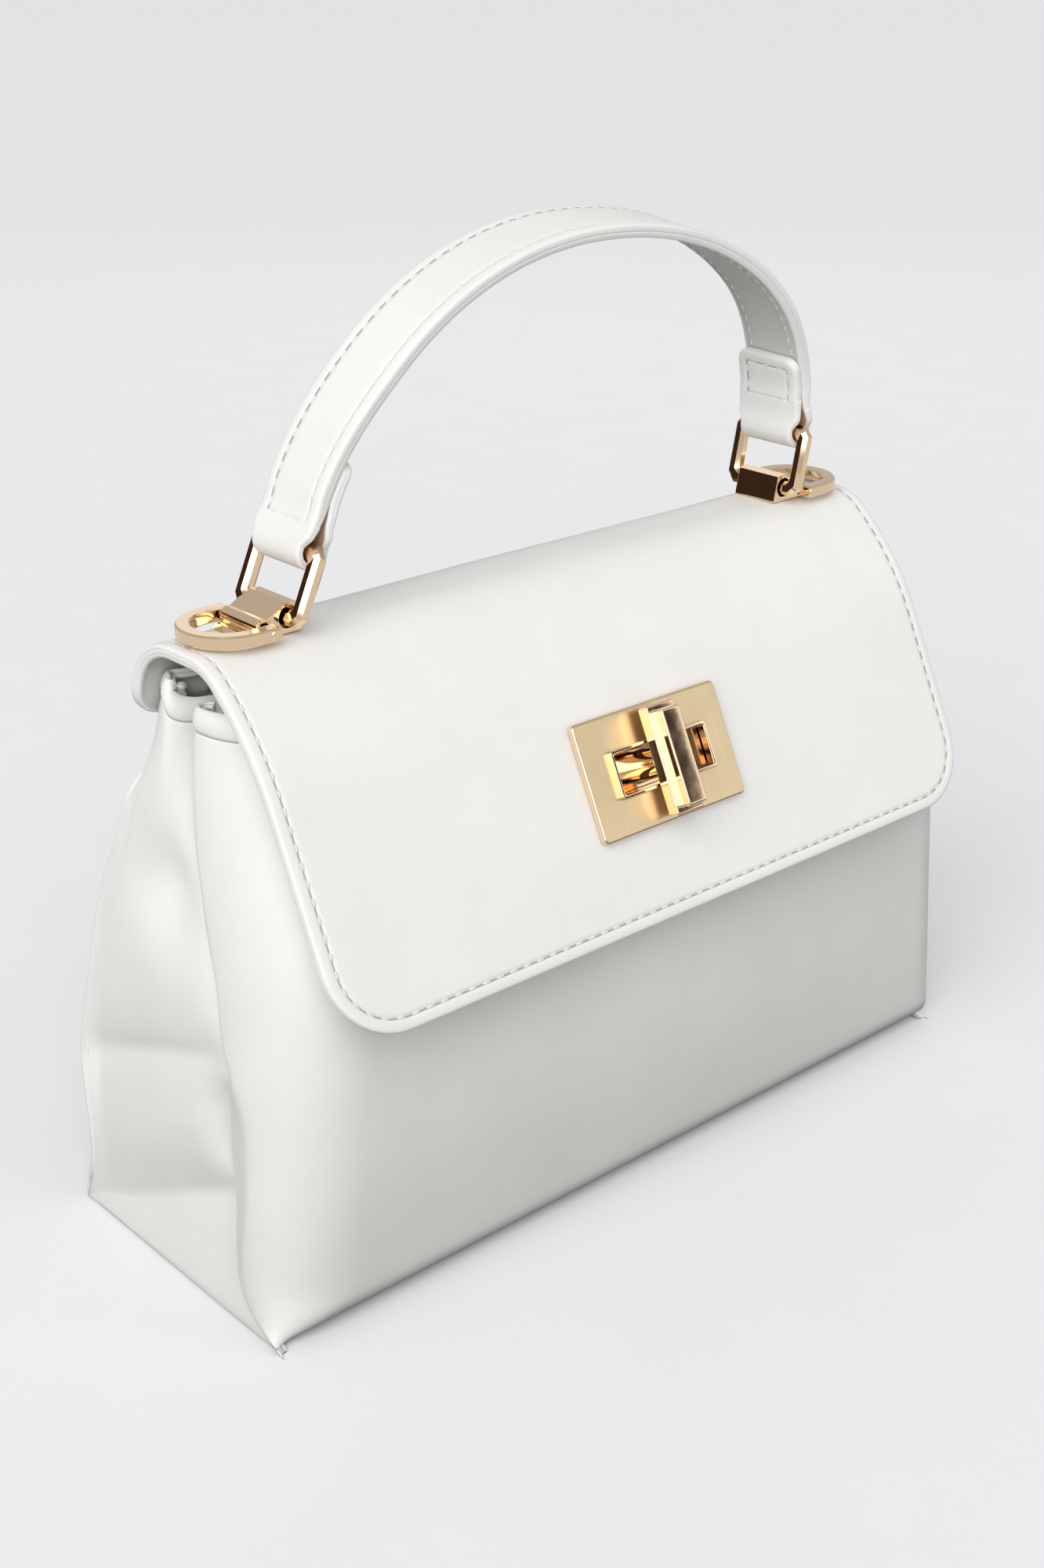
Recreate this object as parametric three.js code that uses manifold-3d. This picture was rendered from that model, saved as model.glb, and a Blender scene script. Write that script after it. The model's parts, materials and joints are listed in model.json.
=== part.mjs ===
// A structured leather flap bag with a top handle, a turn lock and two D-rings.
// Millimetres. X runs along the width, the front faces -Y, +Z is up.
// The origin is the middle of the bottom, on the surface the bag stands on.

import * as THREE from "three";
import { mergeVertices } from "three/addons/utils/BufferGeometryUtils.js";
import Module from "manifold-3d";

const wasm = await Module();
wasm.setup();

// Body
const bodyWidth = 250;
const bodyTopWidth = 219;
const bodyDepth = 92;
const wallHeight = 155;
const mouthFront = 19;
const mouthBack = 17.5;
const frontShoulderHeight = 95;
const backShoulderHeight = 55;
const bottomRoll = 9;
const shoulderRadius = 60;
const bodyLeather = 2.4;
const hemHeight = 7;
const hemSwell = 1.3;
const leftCornerReach = 24;
const rightCornerReach = 3;
const floorCornerReach = 4;
const backCornerReach = 8;
const backCornerTurn = 6;
const seamRise = 13;
const frontBelly = 2;

// Gusset
const gussetLeather = 2.2;
const gussetDrop = 4;
const gussetInset = 0.7;
const gussetTuckIn = 1;
const foldDepth = 14;
const foldWidth = 7;
const lobeBelly = 2.5;
const dimpleDepth = 3;
const creaseDepth = 2;
const facetDepth = 4;
const cornerLift = 3;

// Flap
const flapWidth = 227;
const flapThickness = 3.4;
const flapRidgeRise = 13;
const flapFrontDrop = 65.1;
const flapHemReach = 61.6;
const flapShoulderReach = 29.5;
const flapShoulderDrop = 15.5;
const flapRidgeReach = 11;
const flapBackOverlap = 10;
const flapCorner = 19;
const backRidgeRadius = 10;
const frontRidgeRadius = 8;
const flapShoulderRadius = 30;

// Turn lock, centred on the flap's front slope
const lockDrop = 33;
const plateWidth = 51;
const plateHeight = 31.3;
const plateThickness = 2.2;
const plateCorner = 1.6;
const plateBevel = 0.7;
const slotWidth = 32;
const slotHeight = 10.8;
const slotCorner = 0.6;
const rimWall = 1;
const rimProud = 1.5;
const barWidth = 9.8;
const barLength = 29;
const barLower = 3.6;
const barUpper = 3.4;
const barStep = 1.7;
const barBevel = 0.5;
const barCorner = 0.8;
const neckRadius = 4.2;
const shankRadius = 1.7;
const footLength = 24;
const footWidth = 16.8;
const footThickness = 2;
const footCorner = 2;

// Handle mounts, one near each end of the flap's ridge
const mountCentre = 86.6;
const mountWidth = 15;
const mountHeight = 7.7;
const mountInner = 4;
const tongueLength = 11.6;
const tongueThickness = 1.1;
const barrelRadius = 2.4;

// Rectangular rings that carry the handle
const ringBar = 3.8;
const ringInner = 19.4;
const ringRise = 16.2;
const ringChamfer = 2.6;
const ringEdge = 0.6;
const ringInnerCorner = 0.8;
const ringPivotHeight = 3.9;
const ringLean = { left: 24, right: 12 };

// D-rings, lying outward on the flap
const dPivotOffset = 7;
const dPivotHeight = 2.3;
const dWire = 3.7;
const dThickness = 3.4;
const dInner = 17.6;
const dLeg = 4.9;
const dPin = 1.3;
const dEdge = 0.5;

// Handle strap
const strapWidth = 22;
const strapThickness = 3.6;
const tabThickness = 2.8;
const tabLength = 24;
const loopWidth = 18.6;
const loopLeather = 1.7;
const loopRise = 16;
const handleRise = 66;
const handleLean = 7;
const leanLength = 40;

// Clearances
const gap = 0.3;
const pinClearance = 0.35;
const barClearance = 0.4;
const past = 4;

const radians = Math.PI / 180;
const halfDepth = bodyDepth / 2;

// Heights that follow the walls: the gussets end a little below the mouth, the flap's ridge
// lies above it, and the flap overlaps the back panel below it
const gussetHeight = wallHeight - gussetDrop;
const flapTopHeight = wallHeight + flapRidgeRise;
const flapShoulderHeight = flapTopHeight - flapShoulderDrop;
const flapHemHeight = flapShoulderHeight - flapFrontDrop;
const flapBackHem = wallHeight - flapBackOverlap;
const ringBarRadius = Math.hypot(ringBar / 2, ringBar / 2 - ringEdge);

const leatherFinish = new THREE.MeshStandardMaterial({ color: 0xe9e9e6, roughness: 0.55, metalness: 0 });
const goldFinish = new THREE.MeshStandardMaterial({ color: 0xd9b384, roughness: 0.18, metalness: 1 });
const satinGoldFinish = new THREE.MeshStandardMaterial({ color: 0xcdb388, roughness: 0.4, metalness: 1 });

const bag = new THREE.Group();

// Small number helpers
const mix = (a, b, t) => a + (b - a) * t;
const clamp01 = (t) => Math.min(1, Math.max(0, t));
const smooth = (t) => clamp01(t) ** 2 * (3 - 2 * clamp01(t));
const bump = (distance, width) => Math.exp(-((distance / width) ** 2));

// A smooth value from a table: rows hold a place (at) and a value (is)
function read(table, at) {
  const last = table.length - 1;
  if (at <= table[0].at) return table[0].is;
  if (at >= table[last].at) return table[last].is;
  const k = table.findIndex((row) => row.at >= at);
  const share = (at - table[k - 1].at) / (table[k].at - table[k - 1].at);
  return mix(table[k - 1].is, table[k].is, mix(share, smooth(share), 0.5));
}

// Turns the triangles over where the body would be inside out
function facingOut(position, index) {
  const corner = (k) => new THREE.Vector3().fromArray(position, index[k] * 3);
  let volume = 0;
  for (let k = 0; k < index.length; k += 3) {
    volume += corner(k).dot(corner(k + 1).cross(corner(k + 2)));
  }
  return volume < 0 ? index.toReversed() : index;
}

// One closed body from a grid of outer points and the matching inner points
function slab(outer, inner) {
  const rows = outer.length;
  const columns = outer[0].length;
  const position = [...outer, ...inner].flat().flatMap((p) => [p.x, p.y, p.z]);
  const top = (i, j) => i * columns + j;
  const under = (i, j) => rows * columns + i * columns + j;
  const index = [];
  const quad = (a, b, c, d) => index.push(a, b, c, a, c, d);
  for (let i = 0; i < rows - 1; i++) {
    for (let j = 0; j < columns - 1; j++) {
      quad(top(i, j), top(i + 1, j), top(i + 1, j + 1), top(i, j + 1));
      quad(under(i, j), under(i, j + 1), under(i + 1, j + 1), under(i + 1, j));
    }
    const end = columns - 1;
    quad(top(i, 0), under(i, 0), under(i + 1, 0), top(i + 1, 0));
    quad(top(i, end), top(i + 1, end), under(i + 1, end), under(i, end));
  }
  for (let j = 0; j < columns - 1; j++) {
    const end = rows - 1;
    quad(top(0, j), top(0, j + 1), under(0, j + 1), under(0, j));
    quad(top(end, j), under(end, j), under(end, j + 1), top(end, j + 1));
  }
  const geometry = new THREE.BufferGeometry();
  geometry.setAttribute("position", new THREE.Float32BufferAttribute(position, 3));
  geometry.setIndex(facingOut(position, index));
  return geometry;
}

// Joins and cuts
function toManifold(source) {
  const geometry = source.clone();
  geometry.deleteAttribute("normal");
  geometry.deleteAttribute("uv");
  const merged = mergeVertices(geometry, 1e-4);
  const vertProperties = new Float32Array(merged.getAttribute("position").array);
  const triVerts = new Uint32Array(merged.getIndex().array);
  return new wasm.Manifold(new wasm.Mesh({ numProp: 3, vertProperties, triVerts }));
}

function fromManifold(solid) {
  const mesh = solid.getMesh();
  const geometry = new THREE.BufferGeometry();
  geometry.setAttribute("position", new THREE.Float32BufferAttribute(mesh.vertProperties, 3));
  geometry.setIndex(Array.from(mesh.triVerts));
  return geometry;
}

function joined(...pieces) {
  return fromManifold(pieces.map(toManifold).reduce((whole, piece) => whole.add(piece)));
}

function cut(body, ...tools) {
  const left = tools.map(toManifold).reduce((whole, tool) => whole.subtract(tool), toManifold(body));
  return fromManifold(left);
}

// A path of straight runs with rounded corners, through rows of y, z, radius and steps
function roundedPath(rows, arcSteps) {
  const points = [];
  const at = (row) => new THREE.Vector2(row.y, row.z);
  let from = at(rows[0]);
  for (let k = 1; k < rows.length; k++) {
    const corner = at(rows[k]);
    const radius = rows[k].radius ?? 0;
    let to = corner;
    let arc = [];
    if (radius > 0) {
      const into = corner.clone().sub(at(rows[k - 1])).normalize();
      const away = at(rows[k + 1]).sub(corner).normalize();
      const turn = Math.atan2(into.cross(away), into.dot(away));
      const reach = radius * Math.tan(Math.abs(turn) / 2);
      to = corner.clone().addScaledVector(into, -reach);
      const side = new THREE.Vector2(-into.y, into.x).multiplyScalar(Math.sign(turn) * radius);
      const centre = to.clone().add(side);
      const turned = (n) => to.clone().rotateAround(centre, (turn * (n + 1)) / arcSteps);
      arc = Array.from({ length: arcSteps }, (_, n) => turned(n));
    }
    for (let n = 0; n < rows[k].steps; n++) points.push(from.clone().lerp(to, n / rows[k].steps));
    if (radius > 0) points.push(to, ...arc.slice(0, -1));
    from = radius > 0 ? arc[arc.length - 1] : corner;
  }
  points.push(from);
  return points;
}

// The unit normal on the left of a path, at each of its points
function pathNormals(points) {
  const last = points.length - 1;
  return points.map((_, k) => {
    const along = points[Math.min(k + 1, last)].clone().sub(points[Math.max(k - 1, 0)]).normalize();
    return new THREE.Vector2(-along.y, along.x);
  });
}

// How far a rolled hem stands out of its leather, at a distance below the edge
function hemBead(below) {
  const across = (2 * below) / hemHeight - 1;
  return hemSwell * Math.sqrt(Math.max(0, 1 - across ** 2));
}

// Half the body's width at a height: it narrows towards the mouth
function halfWidthAt(z) {
  return mix(bodyWidth, bodyTopWidth, clamp01(z / wallHeight) ** 1.35) / 2;
}

// Where the front panel ends at the side: shares of the half depth by shares of the height
const frontSeam = [
  { at: 0, is: -1 },
  { at: 0.03, is: -0.76 },
  { at: 0.08, is: -0.61 },
  { at: 0.2, is: -0.51 },
  { at: 0.3, is: -0.46 },
  { at: 0.42, is: -0.48 },
  { at: 0.58, is: -0.33 },
  { at: 0.66, is: -0.21 },
  { at: 0.76, is: -0.08 },
  { at: 1, is: -0.02 },
];

function frontSeamAt(z) {
  return read(frontSeam, z / wallHeight) * halfDepth;
}

// The panels' outer faces in the middle of the bag: upright, then leaning in above a shoulder
function panelAt(z, shoulderHeight, mouth) {
  const share = (z - shoulderHeight) / (wallHeight - shoulderHeight);
  return mix(halfDepth, mouth, Math.max(0, share));
}

const frontPanelAt = (z) => -panelAt(z, frontShoulderHeight, mouthFront);
const backPanelAt = (z) => panelAt(z, backShoulderHeight, mouthBack);

// Body: front, bottom and back are one wrapped piece of leather
const bodyRows = [
  { y: -mouthFront, z: wallHeight },
  { y: -halfDepth, z: frontShoulderHeight, radius: shoulderRadius, steps: 8 },
  { y: -halfDepth, z: 0, radius: bottomRoll, steps: 6 },
  { y: halfDepth, z: 0, radius: bottomRoll, steps: 6 },
  { y: halfDepth, z: backShoulderHeight, radius: shoulderRadius, steps: 4 },
  { y: mouthBack, z: wallHeight, steps: 9 },
];

// Columns across it: a corner turns from the flat panel (turn 0) to its sewn edge (turn 1)
const cornerTurns = [0, 0.2, 0.4, 0.6, 0.8, 1];
const panelShares = [-2 / 3, -1 / 3, 0, 1 / 3, 2 / 3];
const bodyColumns = [
  ...cornerTurns.toReversed().map((turn) => ({ side: -1, turn, across: 1 })),
  ...panelShares.map((share) => ({ side: Math.sign(share), turn: 0, across: Math.abs(share) })),
  ...cornerTurns.map((turn) => ({ side: 1, turn, across: 1 })),
];

function bodyWrap() {
  const profile = roundedPath(bodyRows, 4);
  const normals = pathNormals(profile);
  const outer = [];
  const inner = [];
  profile.forEach((centre, k) => {
    const front = centre.x < 0;
    const z = centre.y;
    const half = halfWidthAt(z);
    const rise = smooth(z / seamRise);
    const onFloor = centre.x * (halfDepth / (halfDepth - bottomRoll));
    const backSeam = mix(halfDepth, centre.x - backCornerTurn * rise, rise);
    const upright = front ? frontSeamAt(z) : backSeam;
    const seam = z < 0.01 ? onFloor : upright;
    const hem = hemBead(wallHeight - z);
    const belly = front ? frontBelly * rise * bump(z / frontShoulderHeight - 0.45, 0.35) : 0;
    const outRow = [];
    const inRow = [];
    for (const column of bodyColumns) {
      const frontReach = column.side < 0 ? leftCornerReach : rightCornerReach;
      const reach = mix(floorCornerReach, front ? frontReach : backCornerReach, rise);
      const flatX = (half - reach) * column.across;
      const x = column.turn === 0 ? flatX : half - reach * (1 - column.turn) ** 2;
      const bulge = belly * (1 - (x / half) ** 2);
      const p = new THREE.Vector3(column.side * x, mix(centre.x - bulge, seam, column.turn ** 2), z);
      const turned = smooth(column.turn) * rise;
      const acrossShare = normals[k].x * (1 - turned * 0.9);
      const inward = new THREE.Vector3(-column.side * turned * 1.6, acrossShare, normals[k].y).normalize();
      outRow.push(p.clone().addScaledVector(inward, front ? -hem : 0));
      inRow.push(p.clone().addScaledVector(inward, bodyLeather + hem * (1 - smooth(column.turn))));
    }
    outer.push(outRow);
    inner.push(inRow);
  });
  return slab(outer, inner);
}

// Gusset: the side panel, sewn behind the edges of the front and back panels.
// It folds inward behind the front panel's edge towards the mouth.
const fold = [
  { at: 0, is: 0 },
  { at: 0.42, is: 0 },
  { at: 0.6, is: 0.25 },
  { at: 0.8, is: 0.7 },
  { at: 1, is: 1 },
];
const gussetFloor = bodyLeather + gap;

// A point of the left gusset's plan line at a height, mirrored for the right one by the caller
function gussetPlan(share, u) {
  const z = mix(gussetFloor, gussetHeight, share);
  const low = 1 - smooth(z / (bottomRoll * 1.6));
  const front = frontSeamAt(z) + cornerLift * low;
  const tuck = 0.18 * (front - frontPanelAt(z)) * (1 - low);
  const back = backPanelAt(z) - backCornerTurn * 0.8;
  const deep = foldDepth * read(fold, share);
  const x = halfWidthAt(z) - bodyLeather - gap - gussetInset;
  const width = foldWidth * mix(0.7, 1, share);
  const lobe = lobeBelly * smooth(share * 1.2);
  const line = new THREE.CatmullRomCurve3([
    new THREE.Vector3(x - gussetTuckIn, front - tuck, z),
    new THREE.Vector3(x - deep * 0.55, front - tuck * 0.15, z),
    new THREE.Vector3(x - deep, front + width * 0.5, z),
    new THREE.Vector3(x - deep * 0.3, front + width, z),
    new THREE.Vector3(x + lobe * 0.3, mix(front + width, back, 0.45), z),
    new THREE.Vector3(x, back, z),
  ], false, "centripetal");
  const p = line.getPoint(u);
  return dented(p, clamp01((p.y - front) / (back - front)), share, u);
}

// The gusset's dimple, its level crease and the facet that runs down to the back corner
function dented(p, across, share, u) {
  const clear = smooth(across * 4) * smooth((1 - across) * 4);
  const creaseLine = wallHeight * mix(0.43, 0.31, across);
  const facetLine = wallHeight * mix(0.22, 0.02, across);
  const rising = (p.z - gussetFloor) / Math.max(facetLine - gussetFloor, 1);
  const falling = 1 - (p.z - facetLine) / (wallHeight * 0.1);
  const facet = clamp01(p.z < facetLine ? rising : falling) * smooth((p.z - gussetFloor) / cornerLift / 2);
  const dimple = bump(p.z - wallHeight * 0.72, wallHeight * 0.09) * bump(across - 0.4, 0.3);
  const crease = bump(p.z - creaseLine, wallHeight * 0.045);
  p.x -= clear * (dimpleDepth * dimple + creaseDepth * crease) + facetDepth * (1 - across) * facet;
  p.z += cornerLift * (1 - share) ** 4 * smooth(Math.abs(2 * u - 1) * 2.2 - 1.2);
  return p;
}

function gusset(side) {
  const levels = 22;
  const stations = 16;
  const nudge = 0.02;
  const outer = [];
  const inner = [];
  for (let i = 0; i <= levels; i++) {
    const outRow = [];
    const inRow = [];
    for (let j = 0; j <= stations; j++) {
      const share = i / levels;
      const u = j / stations;
      const p = gussetPlan(share, u);
      const before = gussetPlan(share, Math.max(u - nudge, 0));
      const ahead = gussetPlan(share, Math.min(u + nudge, 1)).sub(before);
      const inward = new THREE.Vector3(-side * ahead.y, ahead.x, 0).normalize();
      const hem = hemBead(gussetHeight - p.z);
      const free = hem * smooth((u - 0.25) * 4) * smooth((0.95 - u) * 8);
      p.x *= side;
      outRow.push(p.clone().addScaledVector(inward, -free));
      inRow.push(p.clone().addScaledVector(inward, gussetLeather + hem));
    }
    outer.push(outRow);
    inner.push(inRow);
  }
  return slab(outer, inner);
}

// Flap: sewn to the back panel, over the mouth and down the front
const backRise = new THREE.Vector2(mouthBack - halfDepth, wallHeight - backShoulderHeight).normalize();
const flapBackOffset = (gap + flapThickness) / backRise.y;
const flapRows = [
  { y: backPanelAt(flapBackHem) + flapBackOffset, z: flapBackHem },
  { y: backPanelAt(flapTopHeight) + flapBackOffset, z: flapTopHeight, radius: backRidgeRadius, steps: 2 },
  { y: -flapRidgeReach, z: flapTopHeight, radius: frontRidgeRadius, steps: 3 },
  { y: -flapShoulderReach, z: flapShoulderHeight, radius: flapShoulderRadius, steps: 1 },
  { y: -flapHemReach, z: flapHemHeight, steps: 12 },
];
const slope = new THREE.Vector2(flapShoulderReach - flapHemReach, flapHemHeight - flapShoulderHeight);
slope.normalize();
const slopeAngle = Math.atan2(-slope.y, -slope.x);

function flapHalfWidth(fromHem) {
  const cutIn = Math.max(0, flapCorner - fromHem);
  return flapWidth / 2 - flapCorner + Math.sqrt(flapCorner ** 2 - cutIn ** 2);
}

function flapSheet() {
  const rows = roundedPath(flapRows, 4);
  const hem = rows[rows.length - 1];
  const cornerShares = [0.93, 0.75, 0.5, 0.27, 0.12, 0.03, 0];
  const widthShares = [-1, -0.97, -0.6, -0.2, 0.2, 0.6, 0.97, 1];
  const straight = rows.filter((p) => p.distanceTo(hem) > flapCorner * 1.05);
  const rounded = cornerShares.map((share) => hem.clone().addScaledVector(slope, -share * flapCorner));
  const profile = [...straight, ...rounded];
  const normals = pathNormals(profile);
  const sheet = (depth) => profile.map((p, k) => {
    const half = flapHalfWidth(p.distanceTo(hem));
    const y = p.x + normals[k].x * depth;
    const z = p.y + normals[k].y * depth;
    return widthShares.map((share) => new THREE.Vector3(share * half, y, z));
  });
  return slab(sheet(0), sheet(flapThickness));
}

// The lock's own frame: X along the width, Y up the slope, Z out of the flap
const lockPlace = new THREE.Matrix4().makeRotationX(slopeAngle).setPosition(
  0,
  -flapShoulderReach + slope.x * lockDrop,
  flapShoulderHeight + slope.y * lockDrop,
);

// A rectangle with its corners cut across
function cutRectangle(width, height, corner) {
  const x = width / 2;
  const y = height / 2;
  const outline = [
    [-x + corner, -y],
    [x - corner, -y],
    [x, -y + corner],
    [x, y - corner],
    [x - corner, y],
    [-x + corner, y],
    [-x, y - corner],
    [-x, -y + corner],
  ];
  return new THREE.Shape(outline.map(([a, b]) => new THREE.Vector2(a, b)));
}

function block({ width, height, depth, corner, from }) {
  const shape = cutRectangle(width, height, corner);
  return new THREE.ExtrudeGeometry(shape, { depth, bevelEnabled: false }).translate(0, 0, from);
}

// The same, with the edges of its upper face bevelled
function bevelledBlock({ width, height, depth, corner, bevel, from }) {
  const shape = cutRectangle(width - 2 * bevel, height - 2 * bevel, corner);
  const geometry = new THREE.ExtrudeGeometry(shape, {
    depth: depth - bevel,
    bevelThickness: bevel,
    bevelSize: bevel,
    bevelSegments: 1,
  });
  const below = { width: width + past, height: height + past, depth: bevel + past, corner: bevel };
  return cut(geometry.translate(0, 0, from), block({ ...below, from: from - bevel - past }));
}

// An upright many-sided rod, standing from a height
function rod(radius, length, sides, from) {
  const geometry = new THREE.CylinderGeometry(radius, radius, length, sides);
  return geometry.rotateX(Math.PI / 2).translate(0, 0, from + length / 2);
}

const rimWidth = slotWidth + 2 * rimWall;
const rimHeight = slotHeight + 2 * rimWall;

function flap() {
  const opening = block({
    width: rimWidth + 2 * gap,
    height: rimHeight + 2 * gap,
    depth: flapThickness * 4,
    corner: slotCorner,
    from: -flapThickness * 2,
  });
  return cut(flapSheet(), opening.applyMatrix4(lockPlace));
}

const plateTop = gap + plateThickness;
const rimTop = plateTop + rimProud;

function lockPlate() {
  const plate = bevelledBlock({
    width: plateWidth,
    height: plateHeight,
    depth: plateThickness,
    corner: plateCorner,
    bevel: plateBevel,
    from: gap,
  });
  const rimDepth = flapThickness + rimTop;
  const rim = block({
    width: rimWidth,
    height: rimHeight,
    depth: rimDepth,
    corner: slotCorner,
    from: -flapThickness,
  });
  const slot = block({
    width: slotWidth,
    height: slotHeight,
    depth: rimDepth + 2 * past,
    corner: slotCorner,
    from: -flapThickness - past,
  });
  return cut(joined(plate, rim), slot);
}

// The part of the lock that stays on the front panel: a foot and a round neck through the slot
const neckTop = rimTop + gap;
const frontRise = new THREE.Vector2(halfDepth - mouthFront, wallHeight - frontShoulderHeight).normalize();
const footTilt = Math.atan2(frontRise.y, frontRise.x) - slopeAngle;

// How deep below the flap's face the front panel lies, along the lock's axis
function lockFootDepth() {
  const centre = new THREE.Vector3().setFromMatrixPosition(lockPlace);
  const panelPoint = new THREE.Vector2(-mouthFront, wallHeight);
  const outward = new THREE.Vector2(-frontRise.y, frontRise.x);
  const lockOut = new THREE.Vector2(slope.y, -slope.x);
  const away = new THREE.Vector2(centre.y, centre.z).sub(panelPoint).dot(outward);
  return (away - gap) / lockOut.dot(outward);
}

function lockNeck() {
  const depth = lockFootDepth();
  const half = footThickness / 2;
  const foot = block({
    width: footLength,
    height: footWidth,
    depth: footThickness,
    corner: footCorner,
    from: 0,
  });
  foot.rotateX(footTilt).translate(0, 0, -depth);
  const neck = rod(neckRadius, depth + neckTop - half, 16, half - depth);
  const bore = rod(shankRadius + pinClearance, depth + neckTop, 12, footThickness * 1.5 - depth);
  return cut(joined(foot, neck), bore);
}

// Turn bar: stepped, across the slot when shut
function turnBar() {
  const from = neckTop + gap;
  const edge = { corner: barCorner, bevel: barBevel, from };
  const lower = bevelledBlock({ width: barWidth, height: barLength, depth: barLower, ...edge });
  const upper = bevelledBlock({
    width: barWidth - 2 * barStep,
    height: barLength - 2 * barStep,
    depth: barLower + barUpper,
    ...edge,
  });
  const shankDepth = lockFootDepth() * 0.6;
  const shank = rod(shankRadius, shankDepth + from + barLower / 2, 12, -shankDepth);
  return joined(lower, upper, shank);
}

// Handle mount: a cast block with a tunnel for the ring's bar and a barrel for the D-ring's pin.
// Its profile runs from the inner face over the ridge and the barrel to the tongue's tip.
function handleMount() {
  const b = barrelRadius;
  const rows = [
    { out: -mountInner, up: 0 },
    { out: -mountInner * 0.62, up: mountHeight * 0.95 },
    { out: dPivotOffset * 0.09, up: mountHeight },
    { out: dPivotOffset * 0.29, up: mountHeight * 0.86 },
    { out: dPivotOffset * 0.51, up: mountHeight * 0.82 },
    { out: dPivotOffset - b * 0.3, up: dPivotHeight + b * 0.98 },
    { out: dPivotOffset + b * 0.5, up: dPivotHeight + b * 0.86 },
    { out: dPivotOffset + b * 0.95, up: dPivotHeight + b * 0.3 },
    { out: dPivotOffset + b, up: tongueThickness },
    { out: tongueLength - tongueThickness, up: tongueThickness },
    { out: tongueLength, up: 0 },
  ];
  const shape = new THREE.Shape(rows.map((row) => new THREE.Vector2(row.out, row.up)));
  const cast = new THREE.ExtrudeGeometry(shape, { depth: mountWidth, bevelEnabled: false });
  cast.translate(0, 0, -mountWidth / 2).rotateX(Math.PI / 2);
  const through = mountWidth + 2 * past;
  const tunnel = rod(ringBarRadius + barClearance, through, 12, -through / 2);
  tunnel.rotateX(Math.PI / 2).translate(0, 0, ringPivotHeight);
  const pinHole = rod(dPin + pinClearance, through, 10, -through / 2);
  pinHole.rotateX(Math.PI / 2).translate(dPivotOffset, 0, dPivotHeight);
  return cut(cast, tunnel, pinHole);
}

// Rectangular ring in its own plane, its lower bar at the origin
function handleRing() {
  const width = ringInner + 2 * ringBar;
  const height = ringRise + ringBar;
  const shape = cutRectangle(width - 2 * ringEdge, height - 2 * ringEdge, ringChamfer);
  const holeHeight = ringRise - ringBar + 2 * ringEdge;
  shape.holes.push(cutRectangle(ringInner + 2 * ringEdge, holeHeight, ringInnerCorner));
  const geometry = new THREE.ExtrudeGeometry(shape, {
    depth: ringBar - 2 * ringEdge,
    bevelThickness: ringEdge,
    bevelSize: ringEdge,
    bevelSegments: 1,
  });
  geometry.translate(0, ringRise / 2, -ringBar / 2 + ringEdge);
  return geometry.rotateX(Math.PI / 2).rotateZ(Math.PI / 2);
}

// D-ring lying flat, its pin along Y at the origin and its bow towards +X
function dRing() {
  const outer = dInner / 2 + dWire;
  const inner = dInner / 2;
  const back = -dThickness / 2;
  const sides = 12;
  const bow = (radius) => Array.from({ length: sides + 1 }, (_, k) => {
    const angle = -Math.PI / 2 + (Math.PI * k) / sides;
    return new THREE.Vector2(dLeg + radius * Math.cos(angle), radius * Math.sin(angle));
  });
  const shape = new THREE.Shape([
    new THREE.Vector2(back, -outer),
    ...bow(outer),
    new THREE.Vector2(back, outer),
    new THREE.Vector2(back, inner),
    ...bow(inner).reverse(),
    new THREE.Vector2(back, -inner),
  ]);
  const wire = new THREE.ExtrudeGeometry(shape, {
    depth: dThickness - 2 * dEdge,
    bevelThickness: dEdge,
    bevelSize: dEdge,
    bevelOffset: -dEdge,
    bevelSegments: 1,
  });
  wire.translate(0, 0, dEdge - dThickness / 2);
  const pinLength = dInner + dWire;
  const pin = rod(dPin, pinLength, 10, -pinLength / 2).rotateX(Math.PI / 2);
  return joined(wire, pin);
}

// Handle strap: one band, looped round each ring's top bar and sewn back as a tab inside.
// It is drawn from the side, then leans a little to the front towards its peak.
const mountFloor = flapTopHeight + gap;
const leanAt = (side) => (side < 0 ? ringLean.left : ringLean.right) * radians;

function ringTop(side) {
  const across = side * mountCentre + ringRise * Math.sin(leanAt(side));
  return new THREE.Vector2(across, mountFloor + ringPivotHeight + ringRise * Math.cos(leanAt(side)));
}

// Each half of the handle's line leaves its ring at an angle, then levels out at the peak:
// pull and ease are the lengths of that curve's two handles, as shares of the span
const handleHalves = {
  left: { angle: 73, pull: 0.2, ease: 0.29 },
  right: { angle: 86, pull: 0.22, ease: 0.29 },
};

function handleLine() {
  const left = ringTop(-1);
  const right = ringTop(1);
  const span = right.x - left.x;
  const peak = left.clone().lerp(right, 0.5).add(new THREE.Vector2(0, handleRise));
  const start = left.clone().add(new THREE.Vector2(-tabThickness / 2, 0));
  const end = right.clone().add(new THREE.Vector2(tabThickness / 2, 0));
  const rising = ({ angle, pull }) => {
    const direction = new THREE.Vector2(Math.cos(angle * radians), Math.sin(angle * radians));
    return direction.multiplyScalar(pull * span);
  };
  const level = (half, side) => new THREE.Vector2(side * half.ease * span, 0);
  const path = new THREE.CurvePath();
  path.add(new THREE.CubicBezierCurve(
    start,
    start.clone().add(rising(handleHalves.left)),
    peak.clone().add(level(handleHalves.left, -1)),
    peak,
  ));
  path.add(new THREE.CubicBezierCurve(
    peak,
    peak.clone().add(level(handleHalves.right, 1)),
    end.clone().add(rising(handleHalves.right)),
    end,
  ));
  return path;
}

function leanForward(geometry) {
  const p = geometry.getAttribute("position");
  for (let k = 0; k < p.count; k++) {
    const above = Math.max(0, p.getZ(k) - ringTop(-1).y - ringBar);
    const angle = handleLean * radians * smooth(above / leanLength);
    const y = p.getY(k);
    p.setY(k, y * Math.cos(angle) - above * Math.sin(angle));
    p.setZ(k, p.getZ(k) + y * Math.sin(angle));
  }
  return geometry;
}

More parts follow.
